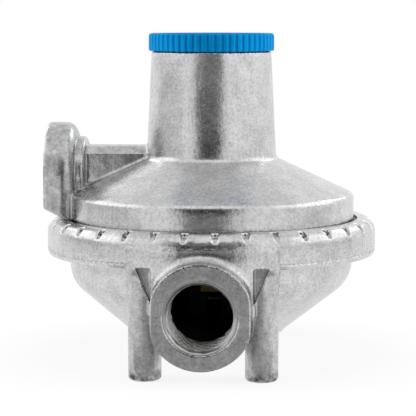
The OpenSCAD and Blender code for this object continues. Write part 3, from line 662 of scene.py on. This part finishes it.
def shade_exactly(mesh, distance, points, slope):
    """Gives each face corner the surface's own slope.

    Where an edge is finer than the mesh, a corner on it takes the slope a little way into its
    face, or the face's own.
    """
    corner_point, corner_face, normals, centres = read_faces(mesh)
    corners = slope[corner_point]
    own = normals[corner_face]
    off = np.flatnonzero(np.sum(corners * own, axis=1) < OFF_FACE)
    start = points[corner_point[off]]
    inner = slope_at(distance, start + INTO_FACE * (centres[corner_face[off]] - start))
    fits = np.sum(inner * own[off], axis=1) > FITS_FACE
    corners[off] = np.where(fits[:, None], inner, own[off])
    mesh.normals_split_custom_set(corners)


def set_shade(mesh, name, values):
    layer = mesh.attributes.new(name, "FLOAT", "POINT")
    layer.data.foreach_set("value", np.asarray(values, dtype=np.float32))


def cast_mesh(name, distance, painted_shade, low, high):
    """A mesh of a distance's zero surface inside a box."""
    low = [value - FAR for value in low]
    high = [value + FAR for value in high]
    grid = openvdb.FloatGrid(FAR)
    grid.copyFromArray(np.ascontiguousarray(distance_grid(distance, low, high)))
    points, triangles, quads = grid.convertToPolygons(isovalue=0.0, adaptivity=ADAPT)
    points = points * STEP + np.array(low)
    for _ in range(3):
        move = np.clip(distance(*points.T), -STEP / 2, STEP / 2)
        points = points - slope_at(distance, points) * move[:, None]
    thing = mesh_object(name, points * MM, [triangles, quads])
    shade_exactly(thing.data, distance, points, slope_at(distance, points))
    # edge: outer edges lightened as painted highlight and corners darkened as painted shade in the
    # castings' finish
    set_shade(thing.data, "edge", edge_at(distance, points))
    # the painted shade: black inside the castings, and darker on feet, bosses and vent
    set_shade(thing.data, "painted_shade", painted_shade(*points.T))
    return thing


def mesh_object(name, corners, groups):
    """An object from corner points in metres and groups of faces, shaded smooth."""
    mesh = bpy.data.meshes.new(name)
    faces = [face for group in groups for face in np.asarray(group).tolist()]
    mesh.from_pydata(np.asarray(corners).tolist(), [], faces, shade_flat=False)
    mesh.validate()
    return in_scene(name, mesh)


def grid_faces(rows, closed_rows):
    """Points and faces of a tube of rings, closed in a loop or with a fan at each end."""
    count, turns = rows.shape[:2]
    i = np.arange(count if closed_rows else count - 1)[:, None]
    here = np.arange(turns)
    on = (here + 1) % turns
    a, b = i * turns, (i + 1) % count * turns
    quads = np.stack([a + here, a + on, b + on, b + here], -1).reshape(-1, 4)
    points = rows.reshape(-1, 3)
    if closed_rows:
        return points, quads, np.zeros((0, 3), dtype=int)
    first, last = count * turns, count * turns + 1
    end = (count - 1) * turns
    start_fan = np.stack([on, here, np.full(turns, first)], 1)
    end_fan = np.stack([end + here, end + on, np.full(turns, last)], 1)
    points = np.concatenate([points, rows[0].mean(0)[None], rows[-1].mean(0)[None]])
    return points, quads, np.concatenate([start_fan, end_fan])


def faces_out(points, quads, fans):
    """The faces, turned over where they enclose less than nothing."""
    triangles = np.concatenate([quads[:, :3], quads[:, [0, 2, 3]], fans])
    a, b, c = (points[triangles[:, k]] for k in range(3))
    if np.sum(a * np.cross(b, c)) < 0:
        return quads[:, ::-1], fans[:, ::-1]
    return quads, fans


def grid_mesh(name, *tubes):
    """An object from tubes in mm: (rings of points, whether the last joins the first)."""
    corners, all_quads, all_fans = [], [], []
    base = 0
    for rows, closed_rows in tubes:
        points, quads, fans = grid_faces(np.asarray(rows, dtype=float), closed_rows)
        quads, fans = faces_out(points, quads, fans)
        corners.append(points)
        all_quads.append(quads + base)
        all_fans.append(fans + base)
        base += len(points)
    groups = [np.concatenate(all_quads), np.concatenate(all_fans)]
    thing = mesh_object(name, np.concatenate(corners) * MM, groups)
    thing.data.set_sharp_from_angle(angle=SHARP)
    return thing


def around(turns):
    return np.arange(turns) * TURN / turns


def upright(u, v, height):
    return u, v, height


def on_vent(u, v, height):
    return height, u, VENT_Z + v


def on_ports(u, v, height):
    return u, height, PORT_Z + v


def ring(r, angle, height, place=upright):
    """Points at a radius and a height about the axis of place."""
    return np.stack(place(r * np.cos(angle), r * np.sin(angle), height + 0 * angle), -1)


def rings(outline, turns, place=upright):
    return [ring(r, around(turns), height, place) for r, height in outline]


def slab(radii, heights, inner_r, outer_r, steps=3):
    """Section of a flat ring, with rounded edges."""
    (inner, outer), (low, high) = radii, heights
    corners = [(inner, low, inner_r), (outer, low, outer_r)]
    return rounded(corners + [(outer, high, outer_r), (inner, high, inner_r)], steps)


# ---- threads, cap and small pieces

VEE_FLAT = 0.15  # of crest and root, as a share of half a pitch
THREAD_GRID = (192, 96)  # rows and columns
THREAD_START = 0.45
THREAD_END = 0.3  # plain turns
SLEEVE_T = 0.25
COARSE_DEPTH = 0.5


def vee(turns):
    """Thread form against turns: 0 at the crest and 1 at the root, with narrow flats."""
    wave = abs(np.mod(turns, 1) * 2 - 1)
    return np.clip(wave * (1 + 2 * VEE_FLAT) - VEE_FLAT, 0, 1)


def coarse_thread(z, angle):
    return COARSE_DEPTH * vee(z / COARSE_PITCH - angle / TURN)


def port_thread(name, port, side):
    """Taper pipe thread inside a port: a closed sleeve with a helical inside, worn round."""
    crest, root, last = port["crest"], port["root"], port["depth"]
    depth = np.linspace(THREAD_START, last, THREAD_GRID[0])[:, None]
    angle = around(THREAD_GRID[1])[None, :]
    taper = depth * THREAD_TAPER
    form = vee(depth / THREAD_PITCH - angle / TURN)
    form = form * form * (3 - 2 * form) * np.clip((last - depth) / THREAD_PITCH - THREAD_END, 0, 1)
    bore = crest + (root - crest) * form - taper
    bore = np.maximum(bore, crest + np.maximum(port["chamfer"] - depth, 0))
    outside = (root + SLEEVE_T - taper)[[-1, 0]] + 0 * angle
    radius = np.concatenate([bore, outside])
    spin = angle + 0 * radius
    y = side * (PORT_Y - np.concatenate([depth, depth[[-1, 0]]])) + 0 * radius
    rows = np.stack([radius * np.cos(spin) * side, y, PORT_Z + radius * np.sin(spin)], -1)
    return grid_mesh(name, (rows, True))


CAP_SPOKES = 10  # mesh columns for each flute
CAP_MIDDLE_R = 4.0  # closed by a fan of faces
CAP_THREAD_ROWS = 40
CAP_ROUND = 0.8
DISH_R = CAP_R - 2.2
DISH_Z = CAP_TOP - 0.4
CAP_T = 2.2
PLUG_INNER_R = PLUG_R - 2.2


def cap_rows():
    """The cap in section: (radius, height, share of the flutes, share of the thread)."""
    side_z = CAP_TOP - CAP_ROUND
    thread_step = (CAP_Z - PLUG_Z - 0.6) / CAP_THREAD_ROWS
    under = DISH_Z - CAP_T
    top = [
        (CAP_MIDDLE_R, DISH_Z), (DISH_R - 1.2, DISH_Z), (DISH_R - 0.5, DISH_Z),
        (DISH_R - 0.15, CAP_TOP - 0.05), (DISH_R + 0.15, CAP_TOP),
    ]
    inside = [
        (PLUG_R - 0.6, PLUG_Z), (PLUG_INNER_R + 0.2, PLUG_Z), (PLUG_INNER_R, PLUG_Z + 0.2),
        (PLUG_INNER_R, under - 0.3), (PLUG_INNER_R - 0.4, under), (CAP_MIDDLE_R, under),
    ]
    return (
        [(r, z, 0, 0) for r, z in top]
        + [
            (r, z, min(1, max(0, (CAP_R - 0.1 - r) * -2.5 + 1)), 0)
            for r, z in arc(CAP_R - CAP_ROUND, side_z, CAP_ROUND, 90, 0, 8)
        ]
        + [(CAP_R, CAP_Z + (side_z - CAP_Z) * k / 4, 1, 0) for k in (3, 2, 1)]
        + [(CAP_R, CAP_Z + 0.25, 1, 0), (CAP_R - 0.2, CAP_Z, 1, 0), (CAP_R - 0.8, CAP_Z, 0, 0)]
        + [(PLUG_R - 0.5, CAP_Z, 0, 0)]
        + [(PLUG_R, CAP_Z - 0.3 - thread_step * k, 0, 1) for k in range(CAP_THREAD_ROWS + 1)]
        + [(r, z, 0, 0) for r, z in inside]
    )


def make_cap():
    angle = around(FLUTES * CAP_SPOKES)
    offset = np.mod(angle * FLUTES / TURN + 0.5, 1) - 0.5
    across = offset * TURN * CAP_R / FLUTES
    flute = np.sqrt(np.maximum(FLUTE_R ** 2 - across ** 2, 0)) - (FLUTE_R - FLUTE_D)
    flute = np.maximum(flute, 0)
    rows = [
        ring(r - fluted * flute - threaded * coarse_thread(z, angle), angle, z)
        for r, z, fluted, threaded in cap_rows()
    ]
    return grid_mesh("fluted_cap", (rows, False))


def make_gasket():
    outline = slab((GASKET_R - 1.7, GASKET_R), (TOWER_RIM_Z, CAP_Z), 0.1, 0.1)
    return grid_mesh("flat_gasket", (rings(outline, 96), True))


def make_adjuster():
    """Threaded plug with a hexagon socket right through it."""
    low, high = ADJUSTER_Z
    angle = around(144)
    socket = SOCKET_AF / 2 / np.cos(np.mod(angle, pi / 3) - pi / 6)
    section = [(PLUG_R - 1.0, low)]
    for z in np.linspace(low + 0.3, high - 0.3, 56):
        lead = COARSE_DEPTH * max(0, 1 - min(z - low, high - z) / 0.9)
        section.append((PLUG_R - np.maximum(coarse_thread(z, angle), lead), z))
    section += [(PLUG_R - 1.0, high), (socket + 0.5, high), (socket, high - 0.5)]
    section += [(socket, low + 0.5), (socket + 0.5, low)]
    return grid_mesh("threaded_adjuster", ([ring(r, angle, z) for r, z in section], True))


COIL_GRID = (40, 14)  # points along one turn and round the wire
COIL_GRIND = 0.75  # turns over which an end is ground flat


def coil_mesh(name, node, wire, turns):
    """Round wire coiled inside a node's box, with closed and ground ends."""
    (_, _, low), (reach, _, high) = node_box(node)
    t = np.linspace(0, turns, turns * COIL_GRID[0] + 1)
    close = wire + COIL_END_GAP
    pitch = (high - low - wire - 2 * close) / (turns - 2)
    climb = close * np.clip(t, 0, 1) + pitch * np.clip(t - 1, 0, turns - 2)
    climb = climb + close * np.clip(t - turns + 1, 0, 1)
    grind = np.clip(1 - t / COIL_GRIND, 0, 1) - np.clip(1 - (turns - t) / COIL_GRIND, 0, 1)
    height = low + wire / 2 + climb - grind * wire / 3
    section = around(COIL_GRID[1])
    r = reach - wire / 2 + wire / 2 * np.cos(section)[None, :]
    z = np.clip(height[:, None] + wire / 2 * np.sin(section)[None, :], low, high)
    return grid_mesh(name, (ring(r, TURN * t[:, None] + 0 * r, z), False))


def woven_wire(length, start, phase):
    """One wire of the screen: rings of points as (along it, across it, through the cloth)."""
    steps = max(3, round(2 * length / SCREEN_PITCH * 5))
    along = np.linspace(-length, length, steps)[:, None]
    turn = around(6)[None, :]
    wave = SCREEN_LIFT * np.cos(pi * along / SCREEN_PITCH + phase)
    across = start + SCREEN_WIRE_R * np.cos(turn)
    depth = wave + SCREEN_WIRE_R * np.sin(turn)
    return along + 0 * turn, across + 0 * along, depth


def make_screen():
    """Plain woven wire cloth with a pressed rim, in the vent's recess."""
    reach = RECESS_R - 0.4
    count = int(reach / SCREEN_PITCH)
    low, high = -RECESS_X - SCREEN_T, -RECESS_X
    outline = slab((RECESS_R - 0.9, RECESS_R), (low, high), 0.12, 0.1)
    tubes = [(rings(outline, 96, on_vent), True)]
    for i in range(-count, count + 1):
        start = i * SCREEN_PITCH
        length = sqrt(reach ** 2 - start ** 2)
        for crossed in (0, 1):
            along, across, depth = woven_wire(length, start, pi * (i + crossed))
            y, z = (across, along) if crossed else (along, across)
            tubes.append((np.stack([(low + high) / 2 + depth, y, VENT_Z + z], -1), False))
    return grid_mesh("woven_screen", *tubes)


def make_snap_ring():
    """Flat ring, open at the bottom, with a lug at each end."""
    low = -RECESS_X - SCREEN_T - RING_T
    half_gap = radians(RING_GAP / 2)
    angle = np.linspace(half_gap, TURN - half_gap, 120) - pi / 2
    from_end = (np.minimum(angle - angle[0], angle[-1] - angle)) * RECESS_R
    lug = LUG_W * np.sqrt(np.clip(1 - (from_end / LUG_R - 1) ** 2, 0, 1))
    lug = np.where(from_end < 2 * LUG_R, lug, 0)
    rows = []
    for across, up in slab((0, RING_W), (0, RING_T), 0.12, 0.12, 2):
        radius = RECESS_R - RING_W + across - lug * (1 - across / RING_W)
        rows.append(ring(radius, angle, low + up, on_vent))
    return grid_mesh("vent_snap_ring", (np.swapaxes(rows, 0, 1), False))


def make_diaphragm():
    """Disc with one roll, with no points in a thin band at the ledge's height between middle and
    clamped edge.
    """
    half = DIAPHRAGM_T / 2
    low, top = HANG_Z, LEDGE_Z - SPLIT
    inner, outer = ROLL_X - ROLL_R, ROLL_X + ROLL_R
    meet = degrees(asin(DIAPHRAGM_T / (ROLL_R + half)))
    outline = (
        rounded([(inner + half, top, 0), (inner + half, low, 0.5), (DIAPHRAGM_HOLE, low, 0.2),
                 (DIAPHRAGM_HOLE, top, 0.2), (inner - half, top, 0)])
        + arc(ROLL_X, LEDGE_Z, ROLL_R + half, 179, meet, 24)
        + [(FLANGE_R, LEDGE_Z + DIAPHRAGM_T), (FLANGE_R, LEDGE_Z + SPLIT)]
        + [(outer - half, LEDGE_Z + SPLIT)]
        + arc(ROLL_X, LEDGE_Z, ROLL_R - half, 1, 179, 24)
    )
    return grid_mesh("rolled_diaphragm", (rings(outline, 144), True))


def make_valve_disc():
    """Rubber disc with the ring that the orifice's seat has pressed into it."""
    (_, back, low), (_, face, high) = node_box("valve_disc")
    radius = (high - low) / 2
    outline = rounded([
        (1.0, back, 0), (radius, back, 0.15), (radius, face, 0.3), (SEAT_MARK[1] + 0.3, face, 0),
    ])
    outline += [(r, face - 0.12) for r in reversed(SEAT_MARK)] + [(SEAT_MARK[0] - 0.3, face)]
    return grid_mesh("seat_disc", (rings(outline, 72, on_ports), False))


# ---- materials

# Dark and light colour of the castings
BODY_GREY = ((0.42, 0.42, 0.425), (0.82, 0.82, 0.815))
BONNET_GREY = ((0.44, 0.44, 0.445), (0.82, 0.82, 0.815))

# Dark and light colour, size, stretch and depth of the tool marks, and roughness
METALS = {
    "tapped_cast": ((0.4, 0.4, 0.4), (0.62, 0.62, 0.61), 0.3, (6, 1, 6), 0.01, (0.2, 0.4)),
    # plated_steel, turned_brass and the lever's steel are darker than such metal, as painted shade
    # of the regulator's inside
    "plated_steel": ((0.22, 0.23, 0.22), (0.46, 0.45, 0.42), 0.5, (1, 8, 1), 0.01, (0.2, 0.4)),
    "turned_brass": ((0.15, 0.105, 0.04), (0.36, 0.265, 0.12), 0.35, (8, 8, 1), 0.008, (0.2, 0.4)),
    "spring_wire": ((0.26, 0.26, 0.265), (0.55, 0.55, 0.55), 0.3, (4, 4, 1), 0.006, (0.25, 0.45)),
    "stainless_wire": ((0.48, 0.48, 0.47), (0.74, 0.74, 0.73), 0.15, (3, 3, 3), 0.003, (0.2, 0.4)),
    "painted_shade_steel": ((0.03, 0.03, 0.03), (0.1, 0.1, 0.1), 0.4, (1, 6, 1), 0.008, (0.3, 0.5)),
}

# CAD nodes that stay in sight, by their finish
PLAIN_NODES = {
    "plated_steel": ("diaphragm_plate", "relief_seat", "relief_nut", "upper_spring_seat"),
    "turned_brass": ("pusher_post", "inlet_orifice", "disc_holder"),
    "spring_wire": ("lever_pin",),
    "painted_shade_steel": ("lever",),
}

# Dark and light colour, roughness, size and depth of the grain, and specular level
MOULDED = {
    "blue_plastic": ((0.001, 0.21, 0.52), (0.002, 0.28, 0.66), (0.35, 0.55), 0.35, 0.006, 0.03),
    "white_plastic": ((0.7, 0.69, 0.65), (0.86, 0.85, 0.82), (0.35, 0.55), 0.4, 0.006, 0.5),
    "black_rubber": ((0.020, 0.020, 0.021), (0.060, 0.060, 0.061), (0.5, 0.75), 0.25, 0.01, 0.5),
}

CLOTH_RUBBER = ((0.010, 0.010, 0.011), (0.045, 0.045, 0.048))
WHITE = (1, 1, 1)
SHADE_BLACK = (0.03, 0.03, 0.03)


class Nodes:
    """Nodes of a material or the world, with short calls for what is done often."""

    def __init__(self, owner):
        owner.use_nodes = True
        self.tree = owner.node_tree

    def node(self, kind, inputs=(), **settings):
        """A new node, with its settings and with values or outputs for its inputs."""
        node = self.tree.nodes.new("ShaderNode" + kind)
        for name, value in settings.items():
            setattr(node, name, value)
        for key, value in dict(inputs).items():
            self.give(node.inputs[key], value)
        return node

    def give(self, socket, value):
        """Sets a socket to a number or a colour, or links it to an output."""
        if isinstance(value, bpy.types.NodeSocket):
            self.tree.links.new(value, socket)
        else:
            socket.default_value = (*value, 1) if isinstance(value, tuple) else value

    def between(self, value, low, high, to_low, to_high):
        """The range from low to high, moved to another range and held there."""
        inputs = enumerate((value, low, high, to_low, to_high))
        return self.node("MapRange", inputs).outputs["Result"]

    def math(self, operation, a, b):
        return self.node("Math", {0: a, 1: b}, operation=operation).outputs[0]

    def seen_directly(self):
        """1 for camera, glossy and transmission rays, and 0 for the rest."""
        path = self.node("LightPath").outputs
        glossy = self.math("MAXIMUM", path["Is Camera Ray"], path["Is Glossy Ray"])
        return self.math("MAXIMUM", glossy, path["Is Transmission Ray"])

    def mix_shaders(self, share, first, second):
        return self.node("MixShader", {0: share, 1: first.outputs[0], 2: second.outputs[0]})

    def show(self, shader, output="OutputMaterial"):
        self.node(output, {"Surface": shader.outputs[0]})


class Finish(Nodes):
    """A material for a piece of the part."""

    def __init__(self, name, metallic):
        self.material = bpy.data.materials.new(name)
        super().__init__(self.material)
        self.shader = self.tree.nodes["Principled BSDF"]
        self.give(self.shader.inputs["Metallic"], metallic)
        self.place = self.node("TexCoord").outputs["Object"]
        self.last_bump = None

    def noise(self, size, stretch=(1, 1, 1), detail=2.0):
        """About 0 to 1, with features about size mm across."""
        scale = [1 / (size * MM * s) for s in stretch]
        place = self.node("Mapping", {"Scale": scale, "Vector": self.place}).outputs["Vector"]
        noise = self.node("TexNoise", {"Scale": 1.0, "Detail": detail, "Vector": place})
        return self.between(noise.outputs["Fac"], 0.3, 0.7, 0, 1)

    def sum(self, *parts):
        """Each part times its share, added up."""
        total = 0.0
        for value, share in parts:
            total = self.math("ADD", total, self.math("MULTIPLY", value, share))
        return total

    def shade(self, name):
        return self.node("Attribute", attribute_name=name).outputs["Fac"]

    def worn(self):
        """0 to 1 on outer edges, from how sharply the mesh bends."""
        return self.between(self.node("NewGeometry").outputs["Pointiness"], 0.51, 0.58, 0, 1)

    def mix(self, value, first, second):
        return self.node("Mix", {0: value, 6: first, 7: second}, data_type="RGBA").outputs[2]

    def colour(self, value, dark, light, painted_shade=None):
        """Base colour from dark to light, and nearly black as painted shade where the shade value
        is 1.
        """
        colour = self.mix(value, dark, light)
        if painted_shade:
            colour = self.mix(painted_shade, colour, SHADE_BLACK)
        self.give(self.shader.inputs["Base Color"], colour)

    def roughness(self, value, low, high):
        self.give(self.shader.inputs["Roughness"], self.between(value, 0, 1, low, high))

    def bump(self, height, depth):
        """Raises the surface by up to depth mm, on top of earlier bumps."""
        bump = self.node("Bump", {"Distance": depth * MM, "Height": height})
        if self.last_bump:
            self.give(bump.inputs["Normal"], self.last_bump)
        self.last_bump = bump.outputs["Normal"]
        self.give(self.shader.inputs["Normal"], self.last_bump)


def cast_finish(name, greys):
    """Die-cast alloy: blotches, pitted skin, drag marks, worn edges with painted highlight,
    painted shade in corners, in patches and inside.
    """
    finish = Finish(name, 1.0)
    blotch = finish.noise(5.0, detail=3.0)
    skin = finish.noise(0.7)
    drag = finish.noise(0.8, stretch=(1, 1, 9))
    pits = finish.between(finish.noise(0.5, detail=3.0), 0.7, 1.0, 0, 1)
    edge = finish.shade("edge")
    painted_shade = finish.shade("painted_shade")
    # patches that break up the painted shade on feet, bosses and vent
    stain = finish.between(finish.noise(1.8, detail=4.0), 0, 1, 0, 2.6)
    # black inside the castings, as painted shade
    inside = finish.between(painted_shade, 0.6, 0.9, 0, 1)
    # painted shade in patches and black inside, which also raises the roughness
    dull_shade = finish.math("MAXIMUM", finish.math("MULTIPLY", painted_shade, stain), inside)
    # edge: outer edges lighter, partly wear and partly painted highlight; corners darker as
    # painted shade
    tone = finish.sum((blotch, 0.35), (skin, 0.45), (drag, 0.15), (edge, 0.15), (pits, -0.4))
    finish.colour(tone, *greys, dull_shade)
    finish.roughness(finish.sum((blotch, 0.5), (skin, 0.4), (edge, -0.2), (dull_shade, 0.6)), 0.2, 0.34)
    finish.bump(finish.noise(7.0, detail=1.0), 0.1)
    finish.bump(finish.noise(1.6), 0.015)
    finish.bump(finish.noise(0.45, detail=1.0), 0.007)
    finish.bump(pits, -0.01)
    finish.bump(drag, 0.008)
    return finish.material


def machined_finish(name):
    """Bare or plated metal with tool or rolling marks, and brighter edges."""
    dark, light, size, stretch, depth, rough = METALS[name]
    finish = Finish(name, 1.0)
    stain = finish.noise(6.0, detail=3.0)
    marks = finish.noise(size, stretch=stretch)
    worn = finish.worn()
    finish.colour(finish.sum((stain, 0.6), (marks, 0.3), (worn, 0.4)), dark, light)
    finish.roughness(finish.sum((stain, 0.5), (marks, 0.5)), *rough)
    finish.bump(marks, depth)
    finish.bump(finish.noise(2.5), depth * 1.5)
    return finish.material


def moulded_finish(name):
    """Plastic or rubber from a mould: a fine grain, faint flow marks and rubbed edges."""
    dark, light, rough, grain, depth, specular = MOULDED[name]
    finish = Finish(name, 0.0)
    finish.give(finish.shader.inputs["Specular IOR Level"], specular)
    flow = finish.noise(4.0, stretch=(1, 1, 2), detail=3.0)
    skin = finish.noise(grain)
    worn = finish.worn()
    finish.colour(finish.sum((flow, 0.5), (skin, 0.25), (worn, 0.5)), dark, light)
    finish.roughness(finish.sum((flow, 0.4), (skin, 0.4), (worn, 0.3)), *rough)
    finish.bump(skin, depth)
    finish.bump(flow, depth * 2)
    return finish.material


THREAD_GAP = 0.5  # of the woven cloth, in mm


def cloth_rubber_finish():
    """Black rubber on woven cloth, whose threads show through the skin."""
    finish = Finish("cloth_rubber", 0.0)
    inputs = {"Scale": 1 / (THREAD_GAP * MM) / 20, "Distortion": 0.4, "Vector": finish.place}
    waves = [finish.node("TexWave", inputs, bands_direction=axis) for axis in "XY"]
    weave = finish.math("MAXIMUM", *(wave.outputs["Fac"] for wave in waves))
    bloom = finish.noise(6.0, detail=3.0)
    finish.colour(finish.sum((weave, 0.3), (bloom, 0.6)), *CLOTH_RUBBER)
    finish.roughness(bloom, 0.5, 0.75)
    finish.bump(weave, 0.04)
    return finish.material


# ---- world, floor and lights

WORLD_FILL = 0.15  # the white world's light
FLOOR_HALF = 3.0  # m
FLOOR_PAINT = (0.95, 0.95, 0.95)
FLOOR_SHARE = (0.86, 1.0)  # share of plain white near the part and far from it
FLOOR_NEAR = (0.04, 0.068)  # m from the part's axis

# Left and right edge and height of the front board's breaks, and the grey above each
FRONT_Y = -0.12
FRONT_BOARD = [
    (-0.03, 0.03, 0.0, 0.5), (-0.03, 0.03, 0.014, 0.28), (-0.038, 0.042, 0.033, 0.01),
    (-0.056, 0.052, 0.064, 0.21), (-0.056, 0.052, 0.13, None),
]


def level(z, x_ends, y_ends):
    (x0, x1), (y0, y1) = x_ends, y_ends
    return [(x0, y0, z), (x1, y0, z), (x1, y1, z), (x0, y1, z)]


def sideways(x, y_ends, z_ends):
    """Corners of an upright rectangle that faces along X."""
    return [(x, y, z) for y, z, _ in level(0, y_ends, z_ends)]


# Corners in m and grey of the other boards
BOARDS = {
    "low_board": (level(0.001, (-0.06, 0.05), (FRONT_Y, -0.04)), 0.42),
    "left_board": (sideways(-0.3, (-0.25, 0.1), (0, 0.09)), 0.62),
    "right_board": (sideways(0.3, (-0.25, 0.1), (0, 0.045)), 0.68),
    "left_glow": (sideways(-0.5, (-0.2, 0.3), (0.17, 0.65)), 1.5),
    "right_glow": (sideways(0.5, (-0.2, 0.3), (0.17, 0.65)), 1.5),
    "ceiling": (level(0.5, (-0.3, 0.3), (-0.1, 0.5)), 0.85),
}

# Place, size, watts, and whether it shows as a reflection
LIGHTS = {
    "left": ((-0.85, -0.08, 0.35), (0.5, 0.7), 7.5, False),
    "right": ((0.85, -0.08, 0.35), (0.5, 0.7), 7.5, False),
    "above": ((0.0, -0.1, 0.9), (0.6, 0.6), 2.0, False),
    "back_left": ((-0.45, 0.55, 0.47), (0.22, 0.22), 0.35, True),
    "back_right": ((0.45, 0.55, 0.47), (0.22, 0.22), 0.35, True),
}
LIGHTS_AIM = Vector((0, 0, 0.04))


def make_world():
    world = bpy.data.worlds.new("world")
    bpy.context.scene.world = world
    nodes = Nodes(world)
    nodes.tree.nodes.clear()
    skies = [
        nodes.node("Background", {"Color": WHITE, "Strength": strength})
        for strength in (WORLD_FILL, 1.0)
    ]
    nodes.show(nodes.mix_shaders(nodes.seen_directly(), *skies), "OutputWorld")


def plane(name, corners):
    """A flat object, and the empty node tree of its material."""
    thing = mesh_object(name, corners, [[(0, 1, 2, 3)]])
    material = bpy.data.materials.new(name)
    thing.data.materials.append(material)
    nodes = Nodes(material)
    nodes.tree.nodes.clear()
    return thing, nodes


def make_floor():
    """Plain white floor that keeps the part's shadow near the part."""
    ends = (-FLOOR_HALF, FLOOR_HALF)
    floor, nodes = plane("floor", level(0, ends, ends))
    place = nodes.node("TexCoord").outputs["Object"]
    distance = nodes.node("VectorMath", {0: place}, operation="LENGTH").outputs["Value"]
    fade = nodes.between(distance, *FLOOR_NEAR, *FLOOR_SHARE)
    share = nodes.math("MULTIPLY", nodes.seen_directly(), fade)
    paint = nodes.node("BsdfDiffuse", {"Color": FLOOR_PAINT})
    nodes.show(nodes.mix_shaders(share, paint, nodes.node("Emission")))


def make_board(name, corners, grey):
    """A plain board that only shows as a reflection."""
    board, nodes = plane(name, corners)
    nodes.show(nodes.node("Emission", {"Color": (grey, grey, grey)}))
    for rays in ("camera", "diffuse", "shadow", "transmission"):
        setattr(board, "visible_" + rays, False)


def make_boards():
    """Boards in front, where the camera stands, beside the part and above it."""
    for i, (below, above) in enumerate(zip(FRONT_BOARD, FRONT_BOARD[1:])):
        edges = ((below, below[0]), (below, below[1]), (above, above[1]), (above, above[0]))
        corners = [(x, FRONT_Y, row[2]) for row, x in edges]
        make_board(f"front_board_{i}", corners, below[3])
    for name, (corners, grey) in BOARDS.items():
        make_board(name, corners, grey)


def make_lights():
    for name, (at, size, power, in_gloss) in LIGHTS.items():
        data = bpy.data.lights.new(name, "AREA")
        data.shape = "RECTANGLE"
        data.size, data.size_y = size
        data.energy = power
        light = in_scene(name, data)
        light.location = at
        light.rotation_euler = (LIGHTS_AIM - Vector(at)).to_track_quat("-Z", "Y").to_euler()
        light.visible_glossy = in_gloss


# ---- the part

def cover(mesh, material):
    mesh.materials.clear()
    mesh.materials.append(material)


def dress(piece, body, material, slot, *nodes):
    """Gives a piece its body and finish, and hides the CAD nodes that it stands for.

    slot is not used.
    """
    cover(piece.data, material)
    if body:
        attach(piece, body)
    if nodes:
        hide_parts(*nodes)


def make_castings(tapped):
    body_cast = cast_finish("body_cast", BODY_GREY)
    bonnet_cast = cast_finish("bonnet_cast", BONNET_GREY)
    body = cast_mesh(
        "cast_body", body_distance, body_painted_shade, (-PAD_R, -PORT_Y, 0), (PAD_R, PORT_Y, LIP_TOP))
    dress(body, "housing", body_cast, "cast_body", "body_casting")
    bonnet = cast_mesh(
        "cast_bonnet", bonnet_distance, bonnet_painted_shade,
        (-VENT_X, -FLANGE_R, CLAMP_Z), (FLANGE_R, FLANGE_R, TOWER_TOP))
    dress(bonnet, "housing", bonnet_cast, "cast_bonnet", "bonnet_casting")
    dress(port_thread("outlet_thread", OUTLET, -1), "housing", tapped, "cast_body")
    dress(port_thread("inlet_thread", INLET, 1), "housing", tapped, "cast_body")


def make_cap_end():
    blue = moulded_finish("blue_plastic")
    nylon = moulded_finish("white_plastic")
    rubber = moulded_finish("black_rubber")
    dress(make_cap(), "cap", blue, "cap_plastic", "closing_cap")
    dress(make_gasket(), "gasket", rubber, "black_rubber", "cap_gasket")
    dress(make_adjuster(), "adjuster", nylon, "white_plastic", "adjusting_screw")
    dress(make_valve_disc(), "valve", rubber, "black_rubber", "valve_disc")


def make_inner_parts(metal):
    """Springs, diaphragm, screen and snap ring, and the finish of the plain turned parts."""
    for finish, nodes in PLAIN_NODES.items():
        for node in nodes:
            cover(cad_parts[node].data, metal[finish])
    wire = metal["spring_wire"]
    dress(make_screen(), "housing", metal["stainless_wire"], "screen_steel", "vent_screen")
    dress(make_snap_ring(), "housing", wire, "spring_steel", "vent_ring")
    main_coil = coil_mesh("main_coil", "main_spring", 1.6, 8)
    relief_coil = coil_mesh("relief_coil", "relief_spring", 0.9, 5)
    diaphragm = make_diaphragm()
    dress(main_coil, None, wire, "spring_steel", "main_spring")
    dress(relief_coil, None, wire, "spring_steel", "relief_spring")
    dress(diaphragm, None, cloth_rubber_finish(), "diaphragm_rubber", "diaphragm")
    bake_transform(main_coil)
    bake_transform(relief_coil)
    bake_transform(diaphragm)


def main():
    make_camera()
    make_world()
    make_floor()
    make_boards()
    make_lights()
    metal = {name: machined_finish(name) for name in METALS}
    make_castings(metal["tapped_cast"])
    make_cap_end()
    make_inner_parts(metal)
    bpy.context.scene.view_settings.view_transform = "Standard"


main()
